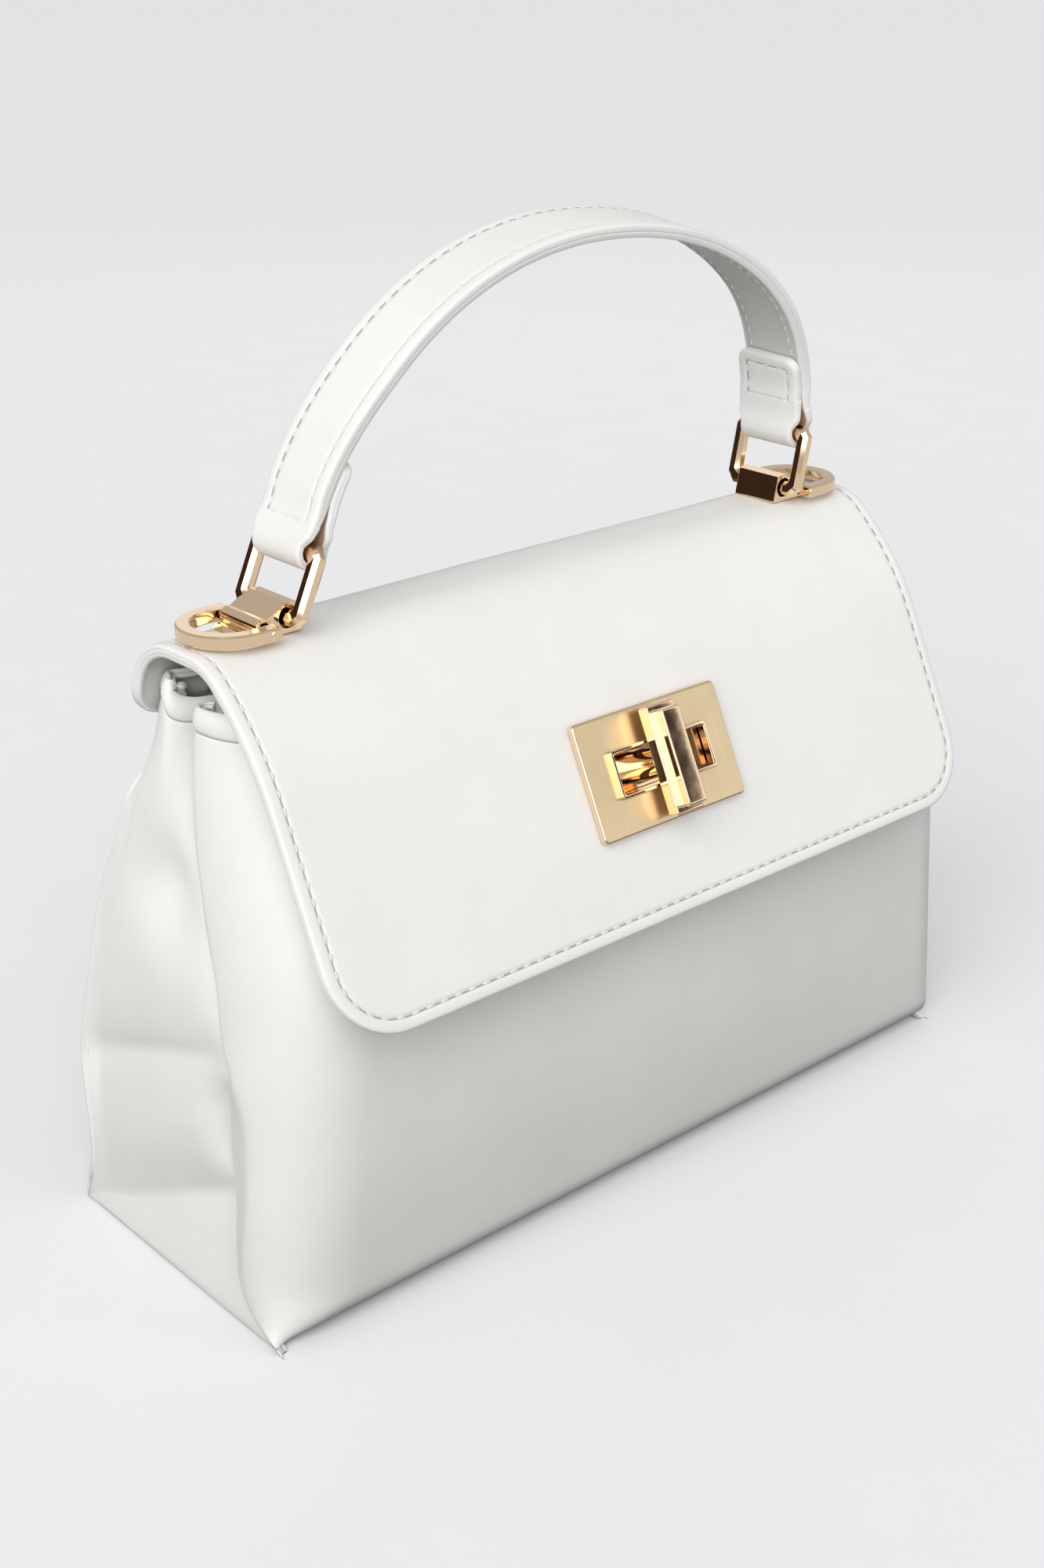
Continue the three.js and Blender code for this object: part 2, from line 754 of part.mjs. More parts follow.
// A drop with a round foot and a point above it, turned to an angle and moved to a place
function teardrop(radius, tip, turn, at) {
  const sides = 12;
  const open = Math.acos(radius / tip);
  const round = 2 * Math.PI - 2 * open;
  const points = Array.from({ length: sides + 1 }, (_, k) => {
    const angle = Math.PI / 2 + open + (round * k) / sides;
    return new THREE.Vector2(Math.cos(angle), Math.sin(angle)).multiplyScalar(radius);
  });
  points.push(new THREE.Vector2(0, tip));
  return new THREE.Shape(points.map((p) => p.rotateAround(new THREE.Vector2(), turn).add(at)));
}

function handleStrap() {
  const steps = 40;
  const path = handleLine();
  const length = path.getLength();
  const line = Array.from({ length: steps + 1 }, (_, k) => path.getPointAt(k / steps));
  const normals = pathNormals(line);
  const offset = (k, distance) => line[k].clone().addScaledVector(normals[k], distance);
  const across = (shape, width) => {
    const geometry = new THREE.ExtrudeGeometry(shape, { depth: width, bevelEnabled: false });
    return geometry.translate(0, 0, -width / 2).rotateX(Math.PI / 2);
  };
  const layer = (keys, top, bottom) => across(new THREE.Shape([
    ...keys.map((k) => offset(k, top)),
    ...keys.map((k) => offset(k, bottom)).reverse(),
  ]), strapWidth);
  const half = strapThickness / 2;
  const seat = half * 0.9;
  const every = line.map((_, k) => k);
  const nearLeft = every.filter((k) => (k / steps) * length < tabLength);
  const nearRight = nearLeft.map((k) => steps - k);
  const pieces = [
    layer(every, half, -half),
    layer(nearLeft, -seat, -half - tabThickness),
    layer(nearRight, -seat, -half - tabThickness),
  ];
  const holeRadius = ringBarRadius + barClearance;
  const loopRadius = holeRadius + loopLeather;
  const holes = [];
  for (const side of [-1, 1]) {
    const bar = ringTop(side);
    const [first, next] = side < 0 ? [line[0], line[1]] : [line[steps], line[steps - 1]];
    const turn = next.clone().sub(first).angle() - Math.PI / 2;
    pieces.push(across(teardrop(loopRadius, loopRise, turn, bar), loopWidth));
    holes.push(across(teardrop(holeRadius, loopRise * 0.6, turn, bar), strapWidth + past));
    const reach = loopRise * 2.5;
    const low = bar.y - reach / 2 + loopRadius;
    const ends = new THREE.BoxGeometry(reach, strapWidth + past, reach).translate(bar.x, 0, low);
    const kept = new THREE.BoxGeometry(reach + past, loopWidth, reach * 2).translate(bar.x, 0, low);
    holes.push(cut(ends, kept));
  }
  return leanForward(cut(joined(...pieces), ...holes));
}

// Putting the bag together
function place(name, geometry, material, matrix = new THREE.Matrix4()) {
  const mesh = new THREE.Mesh(geometry, material);
  mesh.name = name;
  mesh.applyMatrix4(matrix);
  bag.add(mesh);
}

function outward(side) {
  return new THREE.Matrix4().makeRotationZ(side < 0 ? Math.PI : 0);
}

place("body_wrap", bodyWrap(), leatherFinish);
place("gusset_left", gusset(-1), leatherFinish);
place("gusset_right", gusset(1), leatherFinish);
place("flap", flap(), leatherFinish);
place("lock_plate", lockPlate(), satinGoldFinish, lockPlace);
place("lock_neck", lockNeck(), goldFinish, lockPlace);
place("lock_turn_bar", turnBar(), goldFinish, lockPlace);
place("handle_strap", handleStrap(), leatherFinish);
for (const [name, side] of [["left", -1], ["right", 1]]) {
  const ringLeans = new THREE.Matrix4().makeRotationY(leanAt(side));
  const ringPlace = ringLeans.setPosition(side * mountCentre, 0, mountFloor + ringPivotHeight);
  const mountPlace = outward(side).setPosition(side * mountCentre, 0, mountFloor);
  const pinAt = side * (mountCentre + dPivotOffset);
  const pinPlace = outward(side).setPosition(pinAt, 0, mountFloor + dPivotHeight);
  place(`handle_mount_${name}`, handleMount(), goldFinish, mountPlace);
  place(`handle_ring_${name}`, handleRing(), goldFinish, ringPlace);
  place(`d_ring_${name}`, dRing(), goldFinish, pinPlace);
}

export default bag;
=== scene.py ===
# A structured leather flap bag with a top handle, a turn lock and two D-rings.
# X runs along the width, the front faces -Y and +Z is up. Shapes are worked out in
# millimetres and become metres when their mesh is made.

import json
import math

import bmesh
import bpy
import numpy as np
from mathutils import Matrix, Vector


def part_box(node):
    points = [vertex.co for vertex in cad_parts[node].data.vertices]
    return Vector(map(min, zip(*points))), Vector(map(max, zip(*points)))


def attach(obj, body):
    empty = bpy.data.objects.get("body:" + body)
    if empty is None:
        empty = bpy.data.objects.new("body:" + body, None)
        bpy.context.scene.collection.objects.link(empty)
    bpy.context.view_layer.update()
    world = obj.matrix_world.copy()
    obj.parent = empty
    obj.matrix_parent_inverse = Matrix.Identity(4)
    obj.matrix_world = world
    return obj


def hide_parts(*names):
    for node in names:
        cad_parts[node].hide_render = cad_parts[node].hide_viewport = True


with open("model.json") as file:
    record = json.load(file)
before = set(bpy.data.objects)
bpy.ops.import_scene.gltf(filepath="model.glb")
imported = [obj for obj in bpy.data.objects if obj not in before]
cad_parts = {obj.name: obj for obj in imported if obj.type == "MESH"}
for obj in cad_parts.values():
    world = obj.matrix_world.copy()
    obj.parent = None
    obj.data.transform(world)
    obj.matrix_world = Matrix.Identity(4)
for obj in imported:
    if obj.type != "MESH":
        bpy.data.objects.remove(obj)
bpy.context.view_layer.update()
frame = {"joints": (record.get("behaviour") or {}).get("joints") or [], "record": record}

MM = 0.001


def box_mm(node):
    low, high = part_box(node)
    return np.array(low) / MM, np.array(high) / MM


# Sizes that the frame gives
body_low, body_high = box_mm("body_wrap")
flap_low, flap_high = box_mm("flap")
WALL_HEIGHT = body_high[2]
BODY_WIDTH = body_high[0] - body_low[0]
HALF_DEPTH = body_high[1]
GUSSET_HEIGHT = box_mm("gusset_left")[1][2]
FLAP_HALF_WIDTH = flap_high[0]
FLAP_TOP = flap_high[2]
FLAP_HEM_REACH = -flap_low[1]

# Body
BODY_TOP_WIDTH = 219
MOUTH_FRONT = 19
MOUTH_BACK = 17.5
FRONT_SHOULDER = 95
BACK_SHOULDER = 55
BOTTOM_ROLL = 9
SHOULDER_RADIUS = 60
BODY_LEATHER = 2.4
HEM_ROLL = 1.6
HEM_THICKNESS = 6
HEM_SWELL = 0.65
HEM_CREASE = 5.6
EDGE_THICKNESS = 1.6
EDGE_ROUND = 0.6
FRONT_CORNER_REACH = {-1: 24, 1: 3}
BACK_CORNER_REACH = 8
BACK_EDGE_HEIGHT = 120
BACK_EDGE_INSET = 8.5
BACK_EDGE_TURN = 1.3
BACK_EDGE_DROP = 6
CORNER_COLUMNS = 36
EAR_REACH = 11
EAR_THICKNESS = 0.3
FOOT_HEIGHT = 6
ENDS_THICKNESS = 2.6
CURL_RADIUS = 3
CURL_LOW = 14
CURL_HIGH = 150
CURL_START = 92
CURL_RISE = 45
EDGE_FOLD_SLOPE = 0.34
FLOOR_INSET = 3.4
SEAM_RISE = 13
FRONT_BELLY = 2

# Gusset
GUSSET_LEATHER = 2.2
GUSSET_GROUND = 0.7
GUSSET_INSET = 1.2
GUSSET_TUCK_IN = 2.2
FOLD_DEPTH = 14
FOLD_WIDTH = 7
LOBE_BELLY = 1.2
GUSSET_HEM_LIFT = (2.5, 8)
RIDGE_ARC_START = 150
RIDGE_ARC_CENTRE = 3.4
RIDGE_ARC_RADIUS = 14.6
FACET_HEIGHTS = (34.2, 1.6)
CREASE_HEIGHTS = (72, 45)
DIMPLE_DEPTH = 4.5
CREASE_DEPTH = 3
FACET_DEPTH = 7

# Flap
FLAP_THICKNESS = 3.4
FLAP_SHOULDER_REACH = 29.5
FLAP_SHOULDER_HEIGHT = 152.5
FLAP_HEM_HEIGHT = 87.4
FLAP_RIDGE_REACH = 11
FLAP_BACK_HEM = 145
FLAP_CORNER = 19
FLAP_BACK_CORNER = 9
BACK_RIDGE_RADIUS = 18
FRONT_RIDGE_RADIUS = 16
FLAP_SHOULDER_RADIUS = 80
FLAP_RIM = 0.9

# Handle and its rings
STRAP_WIDTH = 22
STRAP_THICKNESS = 3.6
TAB_THICKNESS = 2.8
TAB_LENGTH = 24
TAB_CORNER = 4
LOOP_WIDTH = 18.6
LOOP_LEATHER = 1.9
LOOP_JOIN = 13
HANDLE_RISE = 66
HANDLE_LEAN = 7
LEAN_LENGTH = 40
HANDLE_STARTS = {"left": (73, 0.2), "right": (86, 0.22)}
HANDLE_EASE = 0.29
HANDLE_RIM = 0.8
RING_BAR = 3.8
RING_EDGE = 0.6
RING_BEVEL = 1.0
RING_INNER = 19.4
RING_RISE = 16.2
RING_CHAMFER = 2.6
RING_PIVOT = 3.9
RING_LEAN = {"left": 24, "right": 12}
RING_CLEARANCE = 0.4

# Handle mounts and D-rings
MOUNT_WIDTH = 15
MOUNT_HEIGHT = 7.7
MOUNT_INNER = 4
TONGUE_LENGTH = 11.6
TONGUE_THICKNESS = 1.1
BARREL_RADIUS = 2.4
D_PIVOT_OFFSET = 7
D_PIVOT_HEIGHT = 2.3
D_WIRE = 3.7
D_THICKNESS = 3.4
D_INNER = 17.6
D_LEG = 4.9
D_PIN = 1.3
D_EDGE = 0.45
PIN_CLEARANCE = 0.35

# Turn lock
GAP = 0.3
PLATE_WIDTH = 51
PLATE_HEIGHT = 31.3
PLATE_THICKNESS = 2.2
PLATE_CORNER = 1.6
PLATE_BEVEL = 0.7
SLOT_WIDTH = 32
SLOT_HEIGHT = 10.8
SLOT_CORNER = 0.6
RIM_WALL = 1
RIM_PROUD = 1.5
BAR_WIDTH = 9.8
BAR_LENGTH = 29
BAR_LOWER = 3.6
BAR_UPPER = 3.4
BAR_STEP = 1.7
BAR_BEVEL = 0.5
BAR_CORNER = 0.8
NECK_RADIUS = 4.2
SHANK_RADIUS = 1.7
FOOT_LENGTH = 24
FOOT_WIDTH = 16.8
FOOT_THICKNESS = 2
FOOT_DEPTH = 6.2

# Stitching: a groove near the edge, darkened with painted shade, with a row of thread in it
STITCH_INSET = 2.7
STITCH_PITCH = 4.3
STITCH_LENGTH = 2.3
THREAD_RADIUS = 0.34
GROOVE_DEPTH = 0.24
GROOVE_HALF = 0.14

# The camera, fitted to the photograph's view
CAMERA_LENS = 47.39
CAMERA_PLACE = (-0.35067, -0.38834, 0.32861)
CAMERA_FORWARD = (0.60853, 0.68706, -0.39703)

# Rings of points round each leather edge
RIM_RINGS = 25

# What a face of a leather piece is; the groove faces get painted shade
OUTER, RIM, INNER, SHADED_GROOVE, TAN = range(5)


def mix(a, b, t):
    return a + (b - a) * t


def smooth(t):
    t = np.clip(t, 0, 1)
    return t * t * (3 - 2 * t)


def bump(distance, width):
    return np.exp(-((distance / width) ** 2))


def unit(vectors):
    return vectors / np.maximum(np.linalg.norm(vectors, axis=-1, keepdims=True), 1e-12)


def read(table, at):
    """Smooth values from a table of (place, value) rows."""
    places, values = np.array(table, float).T
    slopes = np.gradient(values, places)
    at = np.asarray(at, float)
    k = np.clip(np.searchsorted(places, at), 1, len(places) - 1)
    width = places[k] - places[k - 1]
    t = np.clip((at - places[k - 1]) / width, 0, 1)
    rise = values[k] - values[k - 1]
    start, end = slopes[k - 1] * width, slopes[k] * width
    curve = start * t * (1 - t) ** 2 - end * t * t * (1 - t)
    return values[k - 1] + rise * smooth(t) + curve


def add_object(name, data):
    added = bpy.data.objects.new(name, data)
    bpy.context.collection.objects.link(added)
    return added


def aim(aimed, direction, axis="-Z"):
    aimed.rotation_mode = "QUATERNION"
    aimed.rotation_quaternion = Vector(direction).to_track_quat(axis, "Y")


# Camera
def make_camera():
    data = bpy.data.cameras.new("camera")
    data.lens = CAMERA_LENS
    data.clip_start = 0.01
    camera = add_object("camera", data)
    camera.location = CAMERA_PLACE
    aim(camera, CAMERA_FORWARD)
    bpy.context.scene.camera = camera


make_camera()


# Materials
def new_material(name):
    material = bpy.data.materials.new(name)
    material.use_nodes = True
    tree = material.node_tree
    tree.nodes.clear()
    output = tree.nodes.new("ShaderNodeOutputMaterial")
    shader = tree.nodes.new("ShaderNodeBsdfPrincipled")
    tree.links.new(shader.outputs["BSDF"], output.inputs["Surface"])
    return material, tree, shader


def place_nodes(tree, stretch=(1, 1, 1)):
    """The surface's own place in the object, stretched along its axes."""
    place = tree.nodes.new("ShaderNodeTexCoord")
    mapping = tree.nodes.new("ShaderNodeMapping")
    mapping.inputs["Scale"].default_value = stretch
    tree.links.new(place.outputs["Object"], mapping.inputs["Vector"])
    return mapping.outputs["Vector"]


def noise_node(tree, vector, size, detail=3.0, roughness=0.5):
    """Noise with features of about the given size, in millimetres."""
    node = tree.nodes.new("ShaderNodeTexNoise")
    node.inputs["Scale"].default_value = 1 / (size * MM)
    node.inputs["Detail"].default_value = detail
    node.inputs["Roughness"].default_value = roughness
    tree.links.new(vector, node.inputs["Vector"])
    return node.outputs["Fac"]


def ranged(tree, value, low, high):
    node = tree.nodes.new("ShaderNodeMapRange")
    node.inputs["From Min"].default_value = 0.3
    node.inputs["From Max"].default_value = 0.7
    node.inputs["To Min"].default_value = low
    node.inputs["To Max"].default_value = high
    tree.links.new(value, node.inputs["Value"])
    return node.outputs["Result"]


def mixed_colour(tree, share, first, second):
    node = tree.nodes.new("ShaderNodeMix")
    node.data_type = "RGBA"
    node.inputs["A"].default_value = (*first, 1)
    node.inputs["B"].default_value = (*second, 1)
    tree.links.new(share, node.inputs["Factor"])
    return node.outputs["Result"]


def bumped(tree, shader, heights):
    """Chains bump nodes: heights holds (value, depth in millimetres, strength) rows."""
    normal = None
    for value, depth, strength in heights:
        node = tree.nodes.new("ShaderNodeBump")
        node.inputs["Distance"].default_value = depth * MM
        node.inputs["Strength"].default_value = strength
        tree.links.new(value, node.inputs["Height"])
        if normal is not None:
            tree.links.new(normal, node.inputs["Normal"])
        normal = node.outputs["Normal"]
    tree.links.new(normal, shader.inputs["Normal"])


def leather(name, colour, shade, roughness, grain, depth):
    """Pebbled leather: cells of grain, finer pores, faint clouding and uneven gloss."""
    material, tree, shader = new_material(name)
    place = place_nodes(tree)
    cells = tree.nodes.new("ShaderNodeTexVoronoi")
    cells.feature = "SMOOTH_F1"
    cells.inputs["Scale"].default_value = 1 / (grain * MM)
    tree.links.new(place, cells.inputs["Vector"])
    pores = noise_node(tree, place, grain * 0.5, detail=2)
    creases = noise_node(tree, place, grain * 9, detail=4, roughness=0.55)
    clouds = noise_node(tree, place, 26, detail=3)
    share = ranged(tree, clouds, 0, 1)
    tree.links.new(mixed_colour(tree, share, colour, shade), shader.inputs["Base Color"])
    gloss = ranged(tree, creases, roughness - 0.05, roughness + 0.06)
    tree.links.new(gloss, shader.inputs["Roughness"])
    shader.inputs["Specular IOR Level"].default_value = 0.42
    shader.inputs["Subsurface Weight"].default_value = 0.06
    shader.inputs["Subsurface Radius"].default_value = (1, 0.85, 0.7)
    shader.inputs["Subsurface Scale"].default_value = 1.2 * MM
    bumped(tree, shader, [
        (creases, 0.12, 0.35),
        (cells.outputs["Distance"], depth, 0.6),
        (pores, depth * 0.5, 0.4),
    ])
    return material


def thread_material():
    material, tree, shader = new_material("thread")
    place = place_nodes(tree)
    fibres = noise_node(tree, place, 0.18, detail=2)
    share = ranged(tree, fibres, 0, 1)
    colour = mixed_colour(tree, share, (0.8, 0.79, 0.765), (0.7, 0.69, 0.66))
    tree.links.new(colour, shader.inputs["Base Color"])
    shader.inputs["Roughness"].default_value = 0.55
    bumped(tree, shader, [(fibres, 0.05, 0.6)])
    return material


def gold(name, colour, roughness):
    """Polished plated metal with faint wear."""
    material, tree, shader = new_material(name)
    place = place_nodes(tree)
    haze = noise_node(tree, place, 3, detail=5, roughness=0.6)
    ripple = noise_node(tree, place, 7, detail=1)
    shader.inputs["Base Color"].default_value = (*colour, 1)
    shader.inputs["Metallic"].default_value = 1
    tree.links.new(ranged(tree, haze, roughness * 0.75, roughness * 1.4), shader.inputs["Roughness"])
    bumped(tree, shader, [(ripple, 0.05, 0.25)])
    return material


def brushed_gold():
    """Satin plate: fine brushed lines that run up the slope."""
    material, tree, shader = new_material("brushed gold")
    lines = noise_node(tree, place_nodes(tree, (1, 0.012, 0.012)), 0.16, detail=3, roughness=0.65)
    bands = noise_node(tree, place_nodes(tree, (1, 0.05, 0.05)), 5, detail=3)
    share = ranged(tree, lines, 0, 1)
    colour = mixed_colour(tree, share, (0.78, 0.63, 0.4), (0.7, 0.55, 0.33))
    tree.links.new(colour, shader.inputs["Base Color"])
    shader.inputs["Metallic"].default_value = 1
    tree.links.new(ranged(tree, bands, 0.3, 0.38), shader.inputs["Roughness"])
    shader.inputs["Anisotropic"].default_value = 0.5
    bumped(tree, shader, [(lines, 0.02, 0.4)])
    return material


OUTER_LEATHER = leather("leather", (0.83, 0.825, 0.805), (0.8, 0.795, 0.772), 0.44, 0.42, 0.03)
EDGE_LEATHER = leather("leather edge", (0.84, 0.835, 0.82), (0.8, 0.795, 0.78), 0.36, 0.9, 0.012)
LINING = leather("lining", (0.66, 0.655, 0.635), (0.58, 0.575, 0.555), 0.56, 0.75, 0.09)
# A darker grey for the groove and crease faces: painted shade in the stitch grooves and hem creases
PAINTED_SHADE_LEATHER = leather("painted groove shade", (0.46, 0.45, 0.43), (0.38, 0.37, 0.35), 0.6, 0.4, 0.03)
TAN_LEATHER = leather("tan leather", (0.62, 0.44, 0.3), (0.52, 0.36, 0.24), 0.5, 0.5, 0.05)
THREAD = thread_material()
POLISHED = gold("polished gold", (0.93, 0.7, 0.47), 0.09)
BRUSHED = brushed_gold()
LEATHERS = [OUTER_LEATHER, EDGE_LEATHER, LINING, PAINTED_SHADE_LEATHER, TAN_LEATHER]


# Meshes
def hand_over(piece, body, nodes=()):
    """Says which body a piece moves with and the CAD nodes that it stands for."""
    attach(piece, body)
    if nodes:
        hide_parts(*nodes)


def add_leather(name, points, faces, kinds, nodes=(), materials=LEATHERS, sharp=50):
    """A leather piece from points in millimetres. kinds gives each face's material."""
    mesh = bpy.data.meshes.new(name)
    mesh.from_pydata((np.asarray(points) * MM).tolist(), [], [list(map(int, f)) for f in faces])
    for material in materials:
        mesh.materials.append(material)
    mesh.polygons.foreach_set("material_index", np.asarray(kinds, np.int32))
    mesh.polygons.foreach_set("use_smooth", np.ones(len(faces), bool))
    mesh.update()
    mesh.set_sharp_from_angle(angle=math.radians(sharp))
    piece = add_object(name, mesh)
    hand_over(piece, "bag", nodes)
    return piece


def vertex_normals(points, faces):
    normals = np.zeros_like(points)
    for size in (3, 4):
        group = np.array([f for f in faces if len(f) == size], int)
        if not len(group):
            continue
        corners = points[group]
        across = corners[:, 2] - corners[:, 0]
        other = corners[:, 1] - corners[:, 0] if size == 3 else corners[:, 3] - corners[:, 1]
        normal = np.cross(other, across) if size == 3 else np.cross(across, other)
        for k in range(size):
            np.add.at(normals, group[:, k], normal)
    return unit(normals)


def facing_out(points, faces, loop, sides, outward):
    """Turns a sheet over if need be. outward says so from its normals."""
    normals = vertex_normals(points, faces)
    if outward(normals):
        return faces, loop, sides, normals
    return [f[::-1] for f in faces], loop[::-1], sides[::-1], -normals


def layered_rim(reach, layers=1, groove=0.0):
    """Rings round an edge: how far each stands out, and its share of the thickness."""
    shares = np.linspace(0, 1, RIM_RINGS)
    out = reach * (1 - np.abs(2 * shares - 1) ** 2.6) ** (1 / 2.6)
    for k in range(1, layers):
        out -= groove * bump(shares - k / layers, 0.03)
    return np.stack([out, shares], -1)


def close_shell(points, faces, kinds, loop, thickness, rim, inner_kind=INNER, normals=None):
    """A closed shell from an outer sheet: its rim, and an inner sheet one thickness below.

    loop lists the points of the sheet's edge, anticlockwise seen from outside."""
    if normals is None:
        normals = vertex_normals(points, faces)
    thickness = np.broadcast_to(thickness, len(points))
    edge = points[loop]
    along = np.roll(edge, -1, 0) - np.roll(edge, 1, 0)
    outward = unit(np.cross(along, normals[loop]))
    rim = rim if rim.ndim == 3 else np.repeat(rim[:, None], len(loop), 1)
    all_points = [points]
    all_faces = list(faces)
    all_kinds = list(kinds)
    previous = np.asarray(loop)
    count = len(points)
    for ring in rim[1:-1]:
        depth = ring[:, 1:] * thickness[loop][:, None]
        all_points.append(edge + outward * ring[:, :1] - normals[loop] * depth)
        current = count + np.arange(len(loop))
        count += len(loop)
        all_faces += strip(previous, current)
        all_kinds += [RIM] * len(loop)
        previous = current
    all_points.append(points - normals * thickness[:, None])
    last = count + np.asarray(loop)
    all_faces += strip(previous, last)
    all_kinds += [RIM] * len(loop)
    all_faces += [[count + v for v in reversed(f)] for f in faces]
    all_kinds += np.broadcast_to(inner_kind, len(faces)).tolist()
    return np.concatenate(all_points), all_faces, all_kinds


def strip(first, second):
    """Faces between two closed loops of points, the second outside the first."""
    n = len(first)
    return [[first[k], second[k], second[(k + 1) % n], first[(k + 1) % n]] for k in range(n)]


def grid_faces(rows, columns):
    corner = np.arange(rows * columns).reshape(rows, columns)
    quads = np.stack([corner[:-1, :-1], corner[:-1, 1:], corner[1:, 1:], corner[1:, :-1]], -1)
    return quads.reshape(-1, 4).tolist()


def grid_loop(rows, columns):
    """The edge of a grid, and where each side of it begins: first row, end column and so on."""
    corner = np.arange(rows * columns).reshape(rows, columns)
    sides = [corner[0, :-1], corner[:-1, -1], corner[-1, :0:-1], corner[:0:-1, 0]]
    kinds = np.concatenate([[k] * len(side) for k, side in enumerate(sides)])
    return np.concatenate(sides), kinds


def rounded_sheet(half_width, length, start_radius, end_radius, insets, across, along):
    """A flat rounded rectangle in (x, s): rings from its edge inwards, and a grid inside them.

    insets are the rings' distances from the edge. Returns the points, faces, the ring that
    each face lies in and the edge loop."""
    lead = np.linspace(0, 1, 4)[:-1]
    arc = np.linspace(0, math.pi / 2, 9)[1:-1]
    rings = []
    for d in insets:
        start, end = max(start_radius, d), max(end_radius, d)
        low, high = start, length - end
        right = half_width - d

        def side(first, last, inner):
            after = mix(inner[-1], last, 1 - lead[::-1])
            return np.concatenate([mix(first, inner[0], lead), inner, after])

        def run(x, s):
            return np.stack(np.broadcast_arrays(x, s), -1)

        def corner(x, s, radius, turn):
            angle = arc + turn
            return np.stack([x + radius * np.cos(angle), s + radius * np.sin(angle)], -1)

        rise = side(low, high, along)
        flat_end = side(end - half_width, half_width - end, across)
        flat_start = side(start - half_width, half_width - start, across)
        rings.append(np.concatenate([
            run(right, rise),
            corner(half_width - end, high, end - d, 0),
            run(flat_end[::-1], length - d),
            corner(end - half_width, high, end - d, math.pi / 2),
            run(-right, rise[::-1]),
            corner(start - half_width, low, start - d, math.pi),
            run(flat_start, d),
            corner(half_width - start, low, start - d, 1.5 * math.pi),
        ]))
    count = len(rings[0])
    grid = np.stack(np.meshgrid(across, along), -1).reshape(-1, 2)
    points = np.concatenate([*rings, grid])
    faces = []
    ring_of_face = []
    for k in range(len(rings) - 1):
        outer = k * count + np.arange(count)
        faces += [[a, b, c, d] for a, b, c, d in strip(outer + count, outer)]
        ring_of_face += [k] * count
    start = len(rings) * count
    inner_faces = grid_faces(len(along), len(across))
    faces += [[start + v for v in f] for f in inner_faces]
    ring_of_face += [len(rings)] * len(inner_faces)
    return merged(points, faces, ring_of_face, np.arange(count))


def merged(points, faces, labels, loop):
    """Joins points that coincide and drops faces that vanish."""
    keys = np.round(points, 3)
    _, first, index = np.unique(keys, axis=0, return_index=True, return_inverse=True)
    index = np.asarray(index).ravel()
    kept_faces = []
    kept_labels = []
    for face, label in zip(faces, labels):
        turned = list(dict.fromkeys(int(index[v]) for v in face))
        if len(turned) > 2:
            kept_faces.append(turned)
            kept_labels.append(label)
    kept_loop = list(dict.fromkeys(int(index[v]) for v in loop))
    return points[first], kept_faces, np.array(kept_labels), np.array(kept_loop)


# Paths
def rounded_path(rows, spacing=3.0, turn_step=math.radians(6)):
    """Straight runs with rounded corners through rows of (a, b, radius)."""
    rows = [(np.array(row[:2], float), row[2] if len(row) > 2 else 0) for row in rows]
    points = [rows[0][0]]
    for k in range(1, len(rows)):
        corner, radius = rows[k]
        arc = []
        to = corner
        if radius:
            into = unit(corner - rows[k - 1][0])
            away = unit(rows[k + 1][0] - corner)
            turn = math.atan2(into[0] * away[1] - into[1] * away[0], into @ away)
            to = corner - into * radius * math.tan(abs(turn) / 2)
            side = np.array([-into[1], into[0]]) * math.copysign(radius, turn)
            centre = to + side
            for angle in np.linspace(0, turn, max(3, math.ceil(abs(turn) / turn_step)) + 1)[1:]:
                c, s = math.cos(angle), math.sin(angle)
                arm = to - centre
                arc.append(centre + np.array([arm[0] * c - arm[1] * s, arm[0] * s + arm[1] * c]))
        run = np.linalg.norm(to - points[-1])
        pieces = max(1, math.ceil(run / spacing))
        start = points[-1]
        points += [mix(start, to, n / pieces) for n in range(1, pieces + 1)]
        points += arc
    return np.array(points)


class Path:
    """Reads a flat polyline by its length: points and the normals on its left."""

    def __init__(self, points):
        self.points = np.asarray(points, float)
        steps = np.linalg.norm(np.diff(self.points, axis=0), axis=1)
        self.at = np.concatenate([[0], np.cumsum(steps)])
        self.length = self.at[-1]
        self.tangents = unit(np.gradient(self.points, self.at, axis=0))

    def point(self, s):
        return np.stack([np.interp(s, self.at, self.points[:, k]) for k in (0, 1)], -1)

    def tangent(self, s):
        return unit(np.stack([np.interp(s, self.at, self.tangents[:, k]) for k in (0, 1)], -1))

    def normal(self, s):
        t = self.tangent(s)
        return np.stack([-t[..., 1], t[..., 0]], -1)


def bezier(a, b, c, d, steps):
    t = np.linspace(0, 1, steps + 1)[:, None]
    return a * (1 - t) ** 3 + 3 * b * t * (1 - t) ** 2 + 3 * c * t * t * (1 - t) + d * t**3


def spline(corners, t):
    """Centripetal curves, one for each point, read at shares t of their spans.

    corners holds each corner's place on every curve."""
    padded = np.concatenate([[2 * corners[0] - corners[1]], corners, [2 * corners[-1] - corners[-2]]])
    spans = len(corners) - 1
    k = np.clip((t * spans).astype(int), 0, spans - 1)
    w = (t * spans - k)[:, None]
    every = np.arange(len(t))
    p0, p1, p2, p3 = (padded[k + n, every] for n in range(4))
    d0, d1, d2 = (
        np.maximum(np.linalg.norm(b - a, axis=1), 1e-4)[:, None] ** 0.5
        for a, b in ((p0, p1), (p1, p2), (p2, p3))
    )
    m1 = ((p1 - p0) / d0 - (p2 - p0) / (d0 + d1) + (p2 - p1) / d1) * d1
    m2 = ((p2 - p1) / d1 - (p3 - p1) / (d1 + d2) + (p3 - p2) / d2) * d1
    return (
        p1 + m1 * w + (3 * (p2 - p1) - 2 * m1 - m2) * w**2 + (2 * (p1 - p2) + m1 + m2) * w**3
    )


